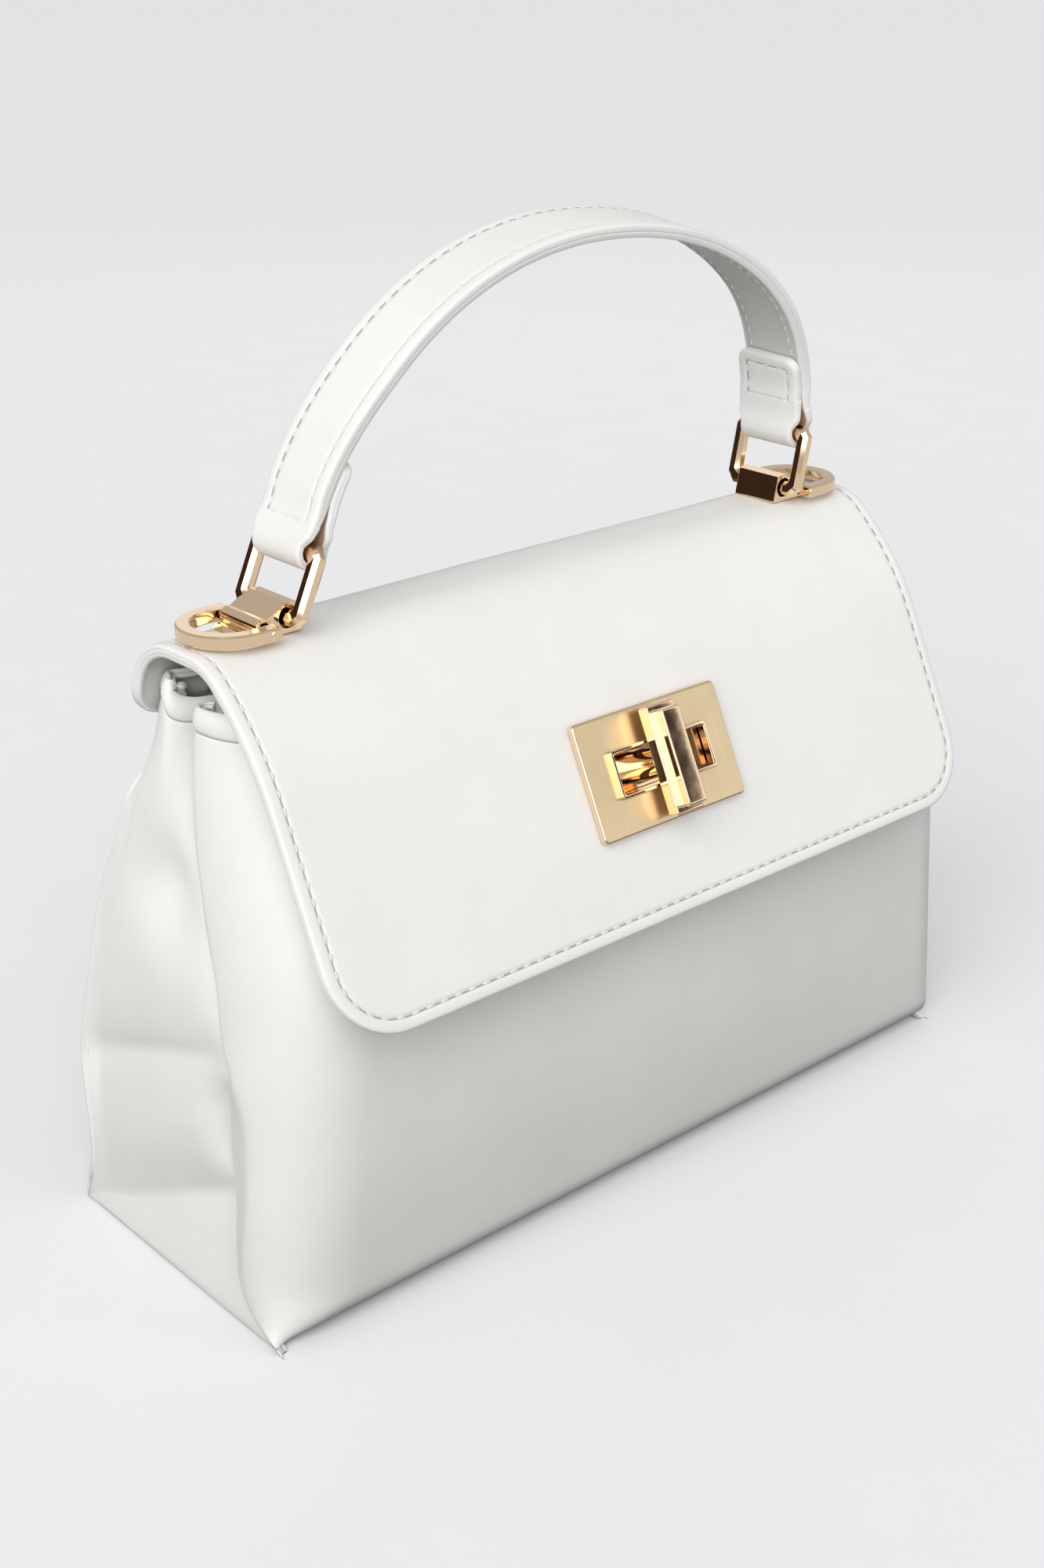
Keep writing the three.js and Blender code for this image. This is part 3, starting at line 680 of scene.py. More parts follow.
# Thread
def stitches(name, runs):
    """Stitches along runs of (points, normals), one mesh for all of them."""
    rings, sides = 7, 8
    along = -np.cos(np.linspace(0, math.pi, rings + 2))[1:-1]
    width = np.sqrt(1 - along**2) ** 0.6
    angle = np.linspace(0, 2 * math.pi, sides, endpoint=False)
    template = [(-1, 0, 0)]
    template += [(a, w * math.cos(t), w * math.sin(t)) for a, w in zip(along, width) for t in angle]
    template += [(1, 0, 0)]
    template = np.array(template)
    faces = []
    for k in range(sides):
        after = (k + 1) % sides
        faces.append([0, 1 + after, 1 + k])
        faces.append([1 + (rings - 1) * sides + k, 1 + (rings - 1) * sides + after, 1 + rings * sides])
        for r in range(rings - 1):
            row = 1 + r * sides
            faces.append([row + k, row + after, row + sides + after, row + sides + k])
    points = []
    all_faces = []
    for path, normals in runs:
        steps = np.linalg.norm(np.diff(path, axis=0), axis=1)
        at = np.concatenate([[0], np.cumsum(steps)])
        number = max(1, round(at[-1] / STITCH_PITCH))
        pitch = at[-1] / number
        for n in range(number):
            centre_at = (n + 0.5) * pitch

            def on(values, s):
                return np.array([np.interp(s, at, values[:, k]) for k in range(3)])

            centre = on(path, centre_at)
            forward = unit(on(path, centre_at + 0.5) - on(path, centre_at - 0.5))
            normal = on(normals, centre_at)
            normal = unit(normal - forward * (normal @ forward))
            side = np.cross(normal, forward)
            length = template[:, :1] * STITCH_LENGTH / 2
            arch = (1 - template[:, :1] ** 2) * 0.12 - 0.12
            lift = template[:, 2:] * THREAD_RADIUS * 0.8 + arch
            start = len(points) * len(template)
            width_out = side * template[:, 1:2] * THREAD_RADIUS
            points.append(centre + forward * length + width_out + normal * lift)
            all_faces += [[start + v for v in face] for face in faces]
    kinds = [0] * len(all_faces)
    add_leather(name, np.concatenate(points), all_faces, kinds, materials=[THREAD], sharp=80)


# Body
def half_width_at(z):
    return mix(BODY_WIDTH, BODY_TOP_WIDTH, np.clip(z / WALL_HEIGHT, 0, 1) ** 1.35) / 2


# Where the front and the back panel end at the side: shares of the height and of the half depth
FRONT_SEAM = [
    (0, -1), (0.03, -0.76), (0.08, -0.61), (0.15, -0.53), (0.22, -0.5), (0.28, -0.42),
    (0.34, -0.405), (0.38, -0.45), (0.42, -0.495), (0.47, -0.42), (0.58, -0.32), (0.66, -0.2),
    (0.76, -0.08), (0.88, -0.02), (1, -0.01),
]
# The same line without its waves, which the panel follows round its corner
SOFT_SEAM = [
    (0, -1), (0.03, -0.78), (0.08, -0.64), (0.15, -0.55), (0.25, -0.49), (0.35, -0.44),
    (0.45, -0.4), (0.58, -0.31), (0.7, -0.17), (0.85, -0.04), (1, -0.01),
]
BACK_SEAM = [
    (0, 0.989), (0.046, 0.952), (0.114, 0.928), (0.2, 0.976), (0.284, 1.028), (0.35, 1.004),
    (0.458, 0.935), (0.642, 0.793), (0.69, 0.724), (0.81, 0.578), (0.88, 0.474), (0.98, 0.404),
    (1, 0.396),
]

# The soft fold along the front panel's edge, low on the side
EDGE_FOLD = [
    (0.05, -0.62), (0.08, -0.615), (0.2, -0.641), (0.27, -0.637), (0.36, -0.596), (0.43, -0.5),
]


def front_seam_at(z):
    return read(FRONT_SEAM, z / WALL_HEIGHT) * HALF_DEPTH


def back_seam_at(z):
    return read(BACK_SEAM, z / WALL_HEIGHT) * HALF_DEPTH


def panel_at(z, shoulder, mouth):
    share = np.clip((z - shoulder) / (WALL_HEIGHT - shoulder), 0, None)
    return mix(HALF_DEPTH, mouth, share)


# Rows below a hem's edge, close together where its crease lies
HEM_ROWS = np.array([0, 0.5, 1.1, 1.8, 2.6, 3.4, 4.2, 4.8, 5.15, 5.4, 5.6, 5.8, 6.1, 6.7, 8])
CREASE_ROW = int(np.argmin(np.abs(HEM_ROWS - HEM_CREASE)))


def hem_relief(below):
    """How far a hem's outer face stands out: a bead above its crease, and in at the crease."""
    bead = np.clip(1 - (below / 2.7 - 1) ** 2, 0, None)
    return HEM_SWELL * bead - 0.25 * bump(below - HEM_CREASE, 0.22)


def hem_depth(below, leather_depth, full):
    """The leather's thickness, which grows towards the rolled edge."""
    return mix(full, leather_depth, smooth((below - 4) / 4.5))


def crease_shade_kinds(count_faces, columns, row):
    """Marks the two rows of faces beside a hem's crease for painted shade in the crease."""
    kinds = np.full(count_faces, OUTER)
    # The crease rows take the painted shade
    kinds[(row - 1) * (columns - 1):(row + 1) * (columns - 1)] = SHADED_GROOVE
    return kinds


def rolled_rim(depth):
    """Two rolls side by side, as rings over each point of an edge whose thickness is given."""
    shares = np.linspace(0, 1, RIM_RINGS)
    across = (shares * 2) % 1
    out = np.sqrt(np.clip(1 - (2 * across - 1) ** 2, 0, None))
    rise = HEM_ROLL * depth / HEM_THICKNESS
    return np.stack([out[:, None] * rise, np.repeat(shares[:, None], len(depth), 1)], -1)


def edge_fold(y, z):
    """How far the front panel's edge turns in behind its soft fold."""
    fold = read(EDGE_FOLD, z / WALL_HEIGHT) * HALF_DEPTH
    strength = EDGE_FOLD_SLOPE * smooth((z - 8) / 8) * smooth((68 - z) / 10)
    return strength * np.clip(y - fold, 0, None)


def body_profile():
    """The middle section, from the front mouth under the bottom to the back mouth."""
    fine = WALL_HEIGHT - HEM_ROLL - HEM_ROWS
    coarse = rounded_path([
        (-MOUTH_FRONT, WALL_HEIGHT),
        (-HALF_DEPTH, FRONT_SHOULDER, SHOULDER_RADIUS),
        (-HALF_DEPTH, 0, BOTTOM_ROLL),
        (HALF_DEPTH, 0, BOTTOM_ROLL),
        (HALF_DEPTH, BACK_SHOULDER, SHOULDER_RADIUS),
        (MOUTH_BACK, WALL_HEIGHT),
    ], spacing=2.5)
    middle = coarse[(coarse[:, 1] < fine[-1] - 0.5)]
    front = np.stack([-panel_at(fine, FRONT_SHOULDER, MOUTH_FRONT), fine], -1)
    back = np.stack([panel_at(fine, BACK_SHOULDER, MOUTH_BACK), fine], -1)[::-1]
    return np.concatenate([front, middle, back])


def corner_reach(y, z, side):
    full = FRONT_CORNER_REACH[side] if y < 0 else BACK_CORNER_REACH
    reach = mix(full / 2, full, smooth(z / SEAM_RISE))
    return max(reach, FLOOR_INSET + 2) if z < 0.01 else reach


def belly_at(x, y, z):
    swell = FRONT_BELLY * smooth(z / SEAM_RISE) * bump(z / FRONT_SHOULDER - 0.45, 0.35)
    return np.where(y < 0, swell, 0) * (1 - (x / half_width_at(z)) ** 2)


def corner_curve(y, z, side):
    """The wrap's plan line round its corner at a height, from the flat panel to its sewn edge."""
    half = half_width_at(z)
    rise = smooth(z / SEAM_RISE)
    reach = corner_reach(y, z, side)
    turn = np.linspace(0, 1, 25)
    x = half - reach * (1 - turn) ** 2
    flat_y = y - belly_at(x, y, z)
    if z < 0.01:
        seam = y * HALF_DEPTH / (HALF_DEPTH - BOTTOM_ROLL)
        shrink = 1 - FLOOR_INSET * smooth((HALF_DEPTH - abs(seam)) / 8) / reach
        x = half - reach + (x - half + reach) * shrink
        return np.stack([x, mix(flat_y, seam, turn**2)], -1)
    if y > 0:
        top = smooth((z - BACK_EDGE_HEIGHT) / 25)
        outline = mix(HALF_DEPTH, back_seam_at(z) + BACK_EDGE_TURN, rise)
        bend = mix(outline + 0.8 * rise, y, top)
        seam = mix(outline - BACK_EDGE_TURN * rise, y, top)
        line_y = flat_y * (1 - turn) ** 2 + bend * 2 * turn * (1 - turn) + seam * turn**2
        return np.stack([x - BACK_EDGE_INSET * top, line_y], -1)
    curl = math.radians(mix(CURL_LOW, CURL_HIGH, smooth((z - CURL_START) / CURL_RISE)))
    curl *= smooth((z - 8) / 10)
    seam = front_seam_at(z) - CURL_RADIUS * 0.6 * math.sin(min(curl, math.pi / 2))
    soft = read(SOFT_SEAM, z / WALL_HEIGHT) * HALF_DEPTH
    line_y = mix(flat_y, soft, turn**2) + (seam - soft) * turn**7
    x = x - edge_fold(line_y, z)
    angle = np.linspace(0, curl, 17)[1:]
    curl_x = x[-1] - CURL_RADIUS * (1 - np.cos(angle))
    curl_y = seam + CURL_RADIUS * np.sin(angle)
    line = np.stack([np.concatenate([x, curl_x]), np.concatenate([line_y, curl_y])], -1)
    return line if curl > 0.01 else line[:25]


def make_body():
    profile = body_profile()
    shares = np.linspace(0, 1, CORNER_COLUMNS) ** 0.8
    flat = np.linspace(-1, 1, 45)[1:-1]
    rows = []
    for y, z in profile:
        half = half_width_at(z)
        corners = {}
        for side in (-1, 1):
            line = Path(corner_curve(y, z, side))
            plan = line.point(shares * line.length)
            corners[side] = np.stack([side * plan[:, 0], plan[:, 1]], -1)
        ends = np.where(flat < 0, half - corner_reach(y, z, -1), half - corner_reach(y, z, 1))
        x = flat * ends
        middle = np.stack([x, y - belly_at(x, y, z)], -1)
        plan = np.concatenate([corners[-1][::-1], middle, corners[1]])
        x = plan[:, 0]
        soft = 0.25 * np.sin(x / 31 + z / 23) * np.sin(z / 17 - x / 47) * smooth(z / SEAM_RISE)
        drop = BACK_EDGE_DROP * smooth((np.abs(x) - half + 28) / 20) * smooth((z - 130) / 22)
        depth = plan[:, 1] - np.where(y < 0, soft, 0)
        rows.append(np.stack([x, depth, z - np.where(y > 0, drop, 0)], -1))
    points = np.array(rows)
    count_rows, columns = points.shape[:2]
    below = np.repeat(WALL_HEIGHT - HEM_ROLL - profile[:, 1], columns)
    corner_share = np.concatenate([shares[::-1], np.zeros(len(flat)), shares])
    corner_share = np.tile(corner_share, count_rows)
    points = points.reshape(-1, 3)
    faces = grid_faces(count_rows, columns)
    kinds = crease_shade_kinds(len(faces), columns, CREASE_ROW)
    faces, loop, sides, normals = facing_out(
        points, faces, *grid_loop(count_rows, columns), lambda n: n[columns // 2, 1] <= 0
    )
    points = points + normals * hem_relief(below)[:, None]
    full = mix(HEM_THICKNESS, ENDS_THICKNESS, smooth(corner_share * 1.7 - 0.4))
    depth = hem_depth(below, BODY_LEATHER, full)
    depth = mix(depth, np.minimum(depth, EDGE_THICKNESS), smooth(corner_share * 5 - 4) * smooth(below / 6))
    ear = np.array([BODY_WIDTH / 2, HALF_DEPTH, 0])
    near_ear = smooth(np.linalg.norm(np.abs(points) - ear, axis=1) / EAR_REACH)
    depth = mix(np.minimum(depth, EAR_THICKNESS), depth, near_ear)
    plain = np.repeat(layered_rim(EDGE_ROUND)[:, None], len(loop), 1)
    plain = plain * np.stack([mix(0.15, 1, near_ear[loop]), np.ones(len(loop))], -1)
    rim = np.where((sides % 2 == 0)[None, :, None], rolled_rim(depth[loop]), plain)
    # The small faces at the ears give unsure normals, so those near the floor are set right
    normals = vertex_normals(points, faces)
    out = np.stack([0.3 * np.sign(points[:, 0]), np.sign(points[:, 1]), np.full(len(points), -0.5)], -1)
    turned_over = (points[:, 2] < BOTTOM_ROLL) & ((normals * out).sum(1) < 0)
    normals[turned_over] *= -1
    normals[points[:, 2] < 0.01] = (0, 0, -1)
    shell_points, *shell = close_shell(points, faces, kinds, loop, depth, rim, normals=normals)
    shell_points[:, 2] = np.maximum(shell_points[:, 2], 0)
    foot = shell_points[:, 2] < FOOT_HEIGHT
    shell_points[foot, 0] = np.clip(shell_points[foot, 0], -BODY_WIDTH / 2, BODY_WIDTH / 2)
    shell_points[foot, 1] = np.clip(shell_points[foot, 1], -HALF_DEPTH, HALF_DEPTH)
    add_leather("body_leather", shell_points, *shell, ["body_wrap"])


# Gusset: its fold deepens towards the mouth
FOLD = [(0, 0), (0.42, 0), (0.6, 0.25), (0.8, 0.7), (1, 1)]
GUSSET_COLUMNS = (5, 6, 6, 8, 15, 15, 6, 7, 6)
GUSSET_ACROSS = (0, 0, 0.03, 0.06, 0.44, 0.77, 0.95, 0.98, 0.99, 1)
GUSSET_SPANS = len(GUSSET_COLUMNS)


def gusset_plan(z, t):
    """Points of the right gusset's plan line, each at its own height."""
    share = (z - GUSSET_GROUND) / (GUSSET_HEIGHT - GUSSET_GROUND)
    low = 1 - smooth(z / 14)
    front = front_seam_at(z)
    over_arc = np.clip(z - RIDGE_ARC_START, 0, None)
    under_flap = RIDGE_ARC_CENTRE + np.sqrt(np.clip(RIDGE_ARC_RADIUS**2 - over_arc**2, 1, None))
    at_arc = np.minimum(back_seam_at(RIDGE_ARC_START) - 0.5, under_flap)
    back = np.where(z > RIDGE_ARC_START, at_arc, back_seam_at(z) - 0.5)
    tuck = 0.18 * (front + panel_at(z, FRONT_SHOULDER, MOUTH_FRONT)) * (1 - low)
    deep = FOLD_DEPTH * np.interp(share, *np.array(FOLD).T)
    across = np.interp(t * GUSSET_SPANS, np.arange(GUSSET_SPANS + 1), GUSSET_ACROSS)
    behind = GUSSET_INSET + (edge_fold(front, z) + 0.9) * (1 - smooth(across * 4))
    x = half_width_at(z) - mix(behind, 0.3, across) * mix(1, 0.3, low)
    width = FOLD_WIDTH * mix(0.7, 1, share)
    lobe = LOBE_BELLY * smooth(share * 1.6 - 0.5)
    inward = smooth((z - BACK_EDGE_HEIGHT) / 22)
    corners = [
        (x - GUSSET_TUCK_IN * (1 - low), front - tuck),
        (x - deep * 0.55, front - tuck * 0.15),
        (x - deep, front + width * 0.5),
        (x - deep * 0.3, front + width),
        (x + lobe, mix(front + width, back, mix(0.4, 0.25, inward))),
        (x + lobe * 0.7, mix(front + width, back, mix(0.75, 0.5, inward))),
        (x - 0.3 * inward, back - mix(3, 4, inward)),
        (x - 2.8 * inward, back - mix(2, 0.4, inward)),
        (x - 7 * inward, back - mix(1, 1.6, inward)),
        (x - 13 * inward, back - 2.6 * inward),
    ]
    line = spline(np.array([np.stack(np.broadcast_arrays(a, b), -1) for a, b in corners]), t)
    share_across = np.clip((line[:, 1] - front) / (back - front), 0, 1)
    return line, share_across


def gusset_dents(across, z, facet_z):
    """How far the side's dimple, level crease and low facet lie in."""
    clear = smooth(across * 4) * smooth((1 - across) * 4)
    dimple = bump(z - WALL_HEIGHT * 0.67, WALL_HEIGHT * 0.085) * bump(across - 0.42, 0.27)
    from_crease = z - mix(*CREASE_HEIGHTS, across)
    crease = np.exp(-np.where(from_crease > 0, from_crease / 8, -from_crease / 17))
    crease *= smooth(across * 4) * smooth((1 - across) * 9 + 0.25)
    deepest = FACET_DEPTH * (1 - across) ** 0.8 * mix(0.45, 1, smooth(across * 5))
    below = np.clip((z - GUSSET_GROUND) / (facet_z - GUSSET_GROUND), 0, 1)
    above = np.clip(1 - (z - facet_z) / 20, 0, 1) ** 1.6
    facet = deepest * np.where(z < facet_z, below, above)
    return clear * DIMPLE_DEPTH * dimple + CREASE_DEPTH * crease + facet


def make_gusset(name, side):
    spans = [np.linspace(k, k + 1, n, endpoint=False) for k, n in enumerate(GUSSET_COLUMNS)]
    t = np.concatenate([*spans, [GUSSET_SPANS]]) / GUSSET_SPANS
    across_t = np.interp(t * GUSSET_SPANS, np.arange(GUSSET_SPANS + 1), GUSSET_ACROSS)
    facet_z = mix(*FACET_HEIGHTS, across_t)
    top = GUSSET_HEIGHT - HEM_ROLL + mix(*GUSSET_HEM_LIFT, smooth(across_t))
    low = np.linspace(0, 1, 13)[:, None]
    high = np.linspace(0, 1, 60)[1:-1, None]
    rows = np.concatenate([
        mix(GUSSET_GROUND, facet_z, low),
        mix(facet_z, top - HEM_ROWS[-1], high),
        top - HEM_ROWS[::-1, None],
    ])
    count_rows, columns = rows.shape
    top = np.tile(top, count_rows)
    z = rows.ravel()
    every_t = np.tile(t, count_rows)
    line, across = gusset_plan(z, every_t)
    dents = gusset_dents(across, z, np.tile(facet_z, count_rows))
    points = np.stack([side * (line[:, 0] - dents), line[:, 1], z], -1)
    faces = grid_faces(count_rows, columns)
    kinds = crease_shade_kinds(len(faces), columns, count_rows - 1 - CREASE_ROW)
    middle = (count_rows // 2) * columns + columns // 2
    faces, loop, sides, normals = facing_out(
        points, faces, *grid_loop(count_rows, columns), lambda n: n[middle, 0] * side >= 0
    )
    points = points + normals * hem_relief(top - z)[:, None]
    place = every_t * GUSSET_SPANS
    ends = np.maximum(1 - smooth(place - 3), smooth(place - 5))
    full = mix(HEM_THICKNESS, ENDS_THICKNESS, ends)
    depth = hem_depth(top - z, GUSSET_LEATHER, full)
    plain = np.repeat(layered_rim(0.35)[:, None], len(loop), 1)
    rim = np.where((sides == 2)[None, :, None], rolled_rim(depth[loop]), plain)
    shell_points, *shell = close_shell(points, faces, kinds, loop, depth, rim)
    shell_points[:, 2] = np.maximum(shell_points[:, 2], 0.2)
    add_leather(f"{name}_leather", shell_points, *shell, [name])


# The strip between the stitches and the edge stands a little proud, with a groove inside it:
# rows of distance from the edge and height
EDGE_RELIEF = [
    (0, 0),
    (0.5, 0.07),
    (1.2, 0.13),
    (1.9, 0.11),
    (STITCH_INSET - 2.2 * GROOVE_HALF, 0.02),
    (STITCH_INSET - GROOVE_HALF, -GROOVE_DEPTH),
    (STITCH_INSET + GROOVE_HALF, -GROOVE_DEPTH),
    (STITCH_INSET + 2.4 * GROOVE_HALF, -0.03),
    (STITCH_INSET + 1.3, 0.02),
]


def relief(inset):
    return np.interp(inset, *np.array(EDGE_RELIEF).T)


def edged_sheet(half_width, length, start_radius, end_radius, deep, across, along):
    """A rounded sheet with the edge relief. Gives each point's height, and marks the groove's faces for
    painted shade.
    """
    insets = [row[0] for row in EDGE_RELIEF] + deep
    flat, faces, rings, loop = rounded_sheet(
        half_width, length, start_radius, end_radius, insets, across, along
    )
    heights = relief(edge_distance(flat, half_width, length, start_radius, end_radius))
    groove = [k for k, row in enumerate(EDGE_RELIEF) if abs(row[0] - STITCH_INSET) < 2.3 * GROOVE_HALF]
    # The stitch groove's faces take the painted shade
    kinds = np.where((rings >= groove[0]) & (rings < groove[-1]), SHADED_GROOVE, OUTER)
    return flat, faces, kinds, loop, heights


def edge_distance(flat, half_width, length, start_radius, end_radius):
    """How far points of a rounded rectangle lie from its edge."""
    x, s = np.abs(flat[:, 0]), flat[:, 1]
    near_end = s > length / 2
    radius = np.where(near_end, end_radius, start_radius)
    from_end = np.where(near_end, length - s, s)
    from_side = half_width - x
    cut_x, cut_s = radius - from_side, radius - from_end
    round_corner = radius - np.hypot(np.maximum(cut_x, 0), np.maximum(cut_s, 0))
    straight = np.minimum(from_side, from_end)
    return np.where((cut_x > 0) & (cut_s > 0), round_corner, straight)


def stitch_run(out_of, flat):
    """A run of stitches on a sheet: its points and their normals."""
    edge = out_of(flat, np.full(len(flat), -0.05))
    return edge, out_of(flat, np.full(len(flat), 0.95)) - edge


def inset_loop(half_width, length, start_radius, end_radius, inset, spacing=1.0):
    """A closed run in (x, s) at a distance inside a rounded rectangle's edge."""
    right, top = half_width - inset, length - inset
    end, start = max(end_radius - inset, 0.01), max(start_radius - inset, 0.01)
    rows = [(right, length / 2), (right, top, end), (-right, top, end), (-right, inset, start)]
    rows += [(right, inset, start), (right, length / 2)]
    return rounded_path(rows, spacing, math.radians(8))


# Flap
def flap_path():
    back_rise = unit(np.array([MOUTH_BACK - HALF_DEPTH, WALL_HEIGHT - BACK_SHOULDER]))
    offset = (GAP + FLAP_THICKNESS) / back_rise[1]
    lean = -back_rise[0] / back_rise[1]
    back = [MOUTH_BACK + (WALL_HEIGHT - z) * lean + offset for z in (FLAP_BACK_HEM, FLAP_TOP)]
    rows = [
        (back[0], FLAP_BACK_HEM),
        (back[1], FLAP_TOP, BACK_RIDGE_RADIUS),
        (-FLAP_RIDGE_REACH, FLAP_TOP, FRONT_RIDGE_RADIUS),
        (-FLAP_SHOULDER_REACH, FLAP_SHOULDER_HEIGHT, FLAP_SHOULDER_RADIUS),
        (-FLAP_HEM_REACH, FLAP_HEM_HEIGHT),
    ]
    return Path(rounded_path(rows, 0.5, math.radians(1.5)))


def make_flap():
    path = flap_path()
    half = FLAP_HALF_WIDTH - FLAP_RIM
    length = path.length - 2 * FLAP_RIM
    corners = (FLAP_BACK_CORNER - FLAP_RIM, FLAP_CORNER - FLAP_RIM)
    deep = [6, 8.5, 11.5, 15, corners[1]]

    def out_of(flat, heights):
        s = flat[:, 1] + FLAP_RIM
        middle = path.point(s)
        outward = -path.normal(s)
        soft = 0.18 * np.sin(flat[:, 0] / 27 + s / 19) * np.sin(s / 31 - flat[:, 0] / 43)
        placed = middle + outward * (heights + soft)[:, None]
        return np.stack([flat[:, 0], placed[:, 0], placed[:, 1]], -1)

    across = np.linspace(deep[-1] - half, half - deep[-1], 65)
    along = np.linspace(deep[-1], length - deep[-1], 64)
    flat, faces, kinds, loop, heights = edged_sheet(half, length, *corners, deep, across, along)
    points = out_of(flat, heights)
    top = np.argmax(points[:, 2])
    faces, loop, *_ = facing_out(points, faces, loop, loop, lambda n: n[top, 2] >= 0)
    rim = layered_rim(FLAP_RIM, layers=3, groove=0.16)
    shell = close_shell(points, faces, kinds, loop, FLAP_THICKNESS, rim)
    flap = add_leather("flap_leather", *shell, ["flap"])
    cut_lock_opening(flap)
    run = inset_loop(half, length, *corners, STITCH_INSET)
    stitches("flap_stitches", [stitch_run(out_of, run)])


def lock_matrix():
    """The lock's own frame: X along the width, Y up the slope, Z out of the flap."""
    joint = next(j for j in frame["joints"] if j["name"] == "lock_turn")
    out = Vector(joint["axis"]).normalized()
    across = Vector((1, 0, 0))
    up = out.cross(across)
    turn = Matrix((across, up, out)).transposed().to_4x4()
    record_joint = next(j for j in frame["record"]["behaviour"]["joints"] if j["name"] == "lock_turn")
    return Matrix.Translation(Vector(record_joint["pos_m"])) @ turn


def cut_lock_opening(flap):
    width = SLOT_WIDTH + 2 * RIM_WALL + 2 * GAP
    height = SLOT_HEIGHT + 2 * RIM_WALL + 2 * GAP
    mesh = bpy.data.meshes.new("lock opening")
    shape = bmesh.new()
    bmesh.ops.create_cube(shape, size=1, matrix=Matrix.Diagonal((width * MM, height * MM, 0.02, 1)))
    shape.to_mesh(mesh)
    shape.free()
    mesh.transform(lock_matrix())
    cutter = add_object("lock opening", mesh)
    cut = flap.modifiers.new("lock opening", "BOOLEAN")
    cut.operation = "DIFFERENCE"
    cut.solver = "EXACT"
    cut.object = cutter
    apply_modifiers(flap)
    bpy.data.objects.remove(cutter)


def apply_modifiers(piece):
    evaluated = piece.evaluated_get(bpy.context.evaluated_depsgraph_get())
    mesh = bpy.data.meshes.new_from_object(evaluated)
    old = piece.data
    piece.modifiers.clear()
    piece.data = mesh
    mesh.name = old.name
    bpy.data.meshes.remove(old)


# Handle
MOUNT_CENTRE = box_mm("handle_mount_right")[1][0] - TONGUE_LENGTH
MOUNT_FLOOR = box_mm("handle_mount_right")[0][2]
RING_BAR_RADIUS = math.hypot(RING_BAR / 2, RING_BAR / 2 - RING_EDGE)


def ring_top(side, name):
    lean = math.radians(RING_LEAN[name])
    x = side * MOUNT_CENTRE + RING_RISE * math.sin(lean)
    return np.array([x, MOUNT_FLOOR + RING_PIVOT + RING_RISE * math.cos(lean)])


def handle_line():
    """The main band's middle line, seen from the front, from the left ring to the right one."""
    left, right = ring_top(-1, "left"), ring_top(1, "right")
    span = right[0] - left[0]
    peak = (left + right) / 2 + [0, HANDLE_RISE]
    start = left - [TAB_THICKNESS / 2, 0]
    end = right + [TAB_THICKNESS / 2, 0]

    def rising(name):
        angle, pull = HANDLE_STARTS[name]
        turn = math.radians(angle)
        return np.array([math.cos(turn), math.sin(turn)]) * pull * span

    ease = HANDLE_EASE * span
    first = bezier(start, start + rising("left"), peak - [ease, 0], peak, 200)
    second = bezier(peak, peak + [ease, 0], end + rising("right"), end, 200)
    return Path(np.concatenate([first, second[1:]]))


def ring_loop(bar, up, out, meet_inner, meet_outer):
    """The band's middle line from the tab round a ring's bar to the main band."""
    radius = RING_BAR_RADIUS + RING_CLEARANCE + LOOP_LEATHER / 2
    open_angle = math.radians(18)
    phi = np.linspace(-open_angle, math.pi + open_angle, 40)[:, None]
    arc = bar + radius * (-np.cos(phi) * out - np.sin(phi) * up)
    pull = LOOP_JOIN * 0.4
    first_way = unit(np.sin(phi[0]) * out - np.cos(phi[0]) * up)
    last_way = unit(np.sin(phi[-1]) * out - np.cos(phi[-1]) * up)
    inner = bezier(meet_inner, meet_inner - up * pull, arc[0] - first_way * pull, arc[0], 24)
    outer = bezier(arc[-1], arc[-1] + last_way * pull, meet_outer - up * pull, meet_outer, 24)
    return inner, arc, outer


def handle_band():
    """The whole band's middle line with its thickness, and the lengths that matter along it."""
    line = handle_line()
    tab_offset = -(STRAP_THICKNESS + TAB_THICKNESS) / 2 - 0.05

    def at(s, offset):
        return line.point(s) + line.normal(s) * offset

    pieces = []
    for side, name in ((-1, "left"), (1, "right")):

        def near(s):
            return s if side < 0 else line.length - s

        bar = ring_top(side, name)
        up = line.tangent(near(0.0)) * -side
        out = line.normal(near(0.0))
        tab = np.array([at(near(s), tab_offset) for s in np.linspace(TAB_LENGTH, LOOP_JOIN, 12)])
        meet = at(near(LOOP_JOIN), 0)
        inner, arc, outer = ring_loop(bar, up, out, tab[-1], meet)
        pieces.append((tab, inner, arc, outer))
    main = np.array([at(s, 0) for s in np.linspace(LOOP_JOIN, line.length - LOOP_JOIN, 240)])
    tab, inner, arc, outer = pieces[0]
    left = [tab, inner[1:], arc[1:], outer[1:]]
    tab, inner, arc, outer = (run[::-1] for run in pieces[1])
    right = [outer[1:], arc[1:], inner[1:], tab[1:]]
    runs = [*left, main[1:], *right]
    ends = np.cumsum([len(run) for run in runs])
    path = Path(np.concatenate(runs))
    marks = path.at[ends - 1]
    return path, marks


# Rows of points on both sides of a line of stitches across the band
CROSS_ROWS = np.array([-0.8, -0.45, -0.2, 0, 0.2, 0.45, 0.8])


def lean_forward(points):
    above = np.maximum(0, points[:, 2] - ring_top(-1, "left")[1] - RING_BAR)
    angle = math.radians(HANDLE_LEAN) * smooth(above / LEAN_LENGTH)
    y = points[:, 1]
    leaned = y * np.cos(angle) - above * np.sin(angle)
    return np.stack([points[:, 0], leaned, points[:, 2] + y * np.sin(angle)], -1)


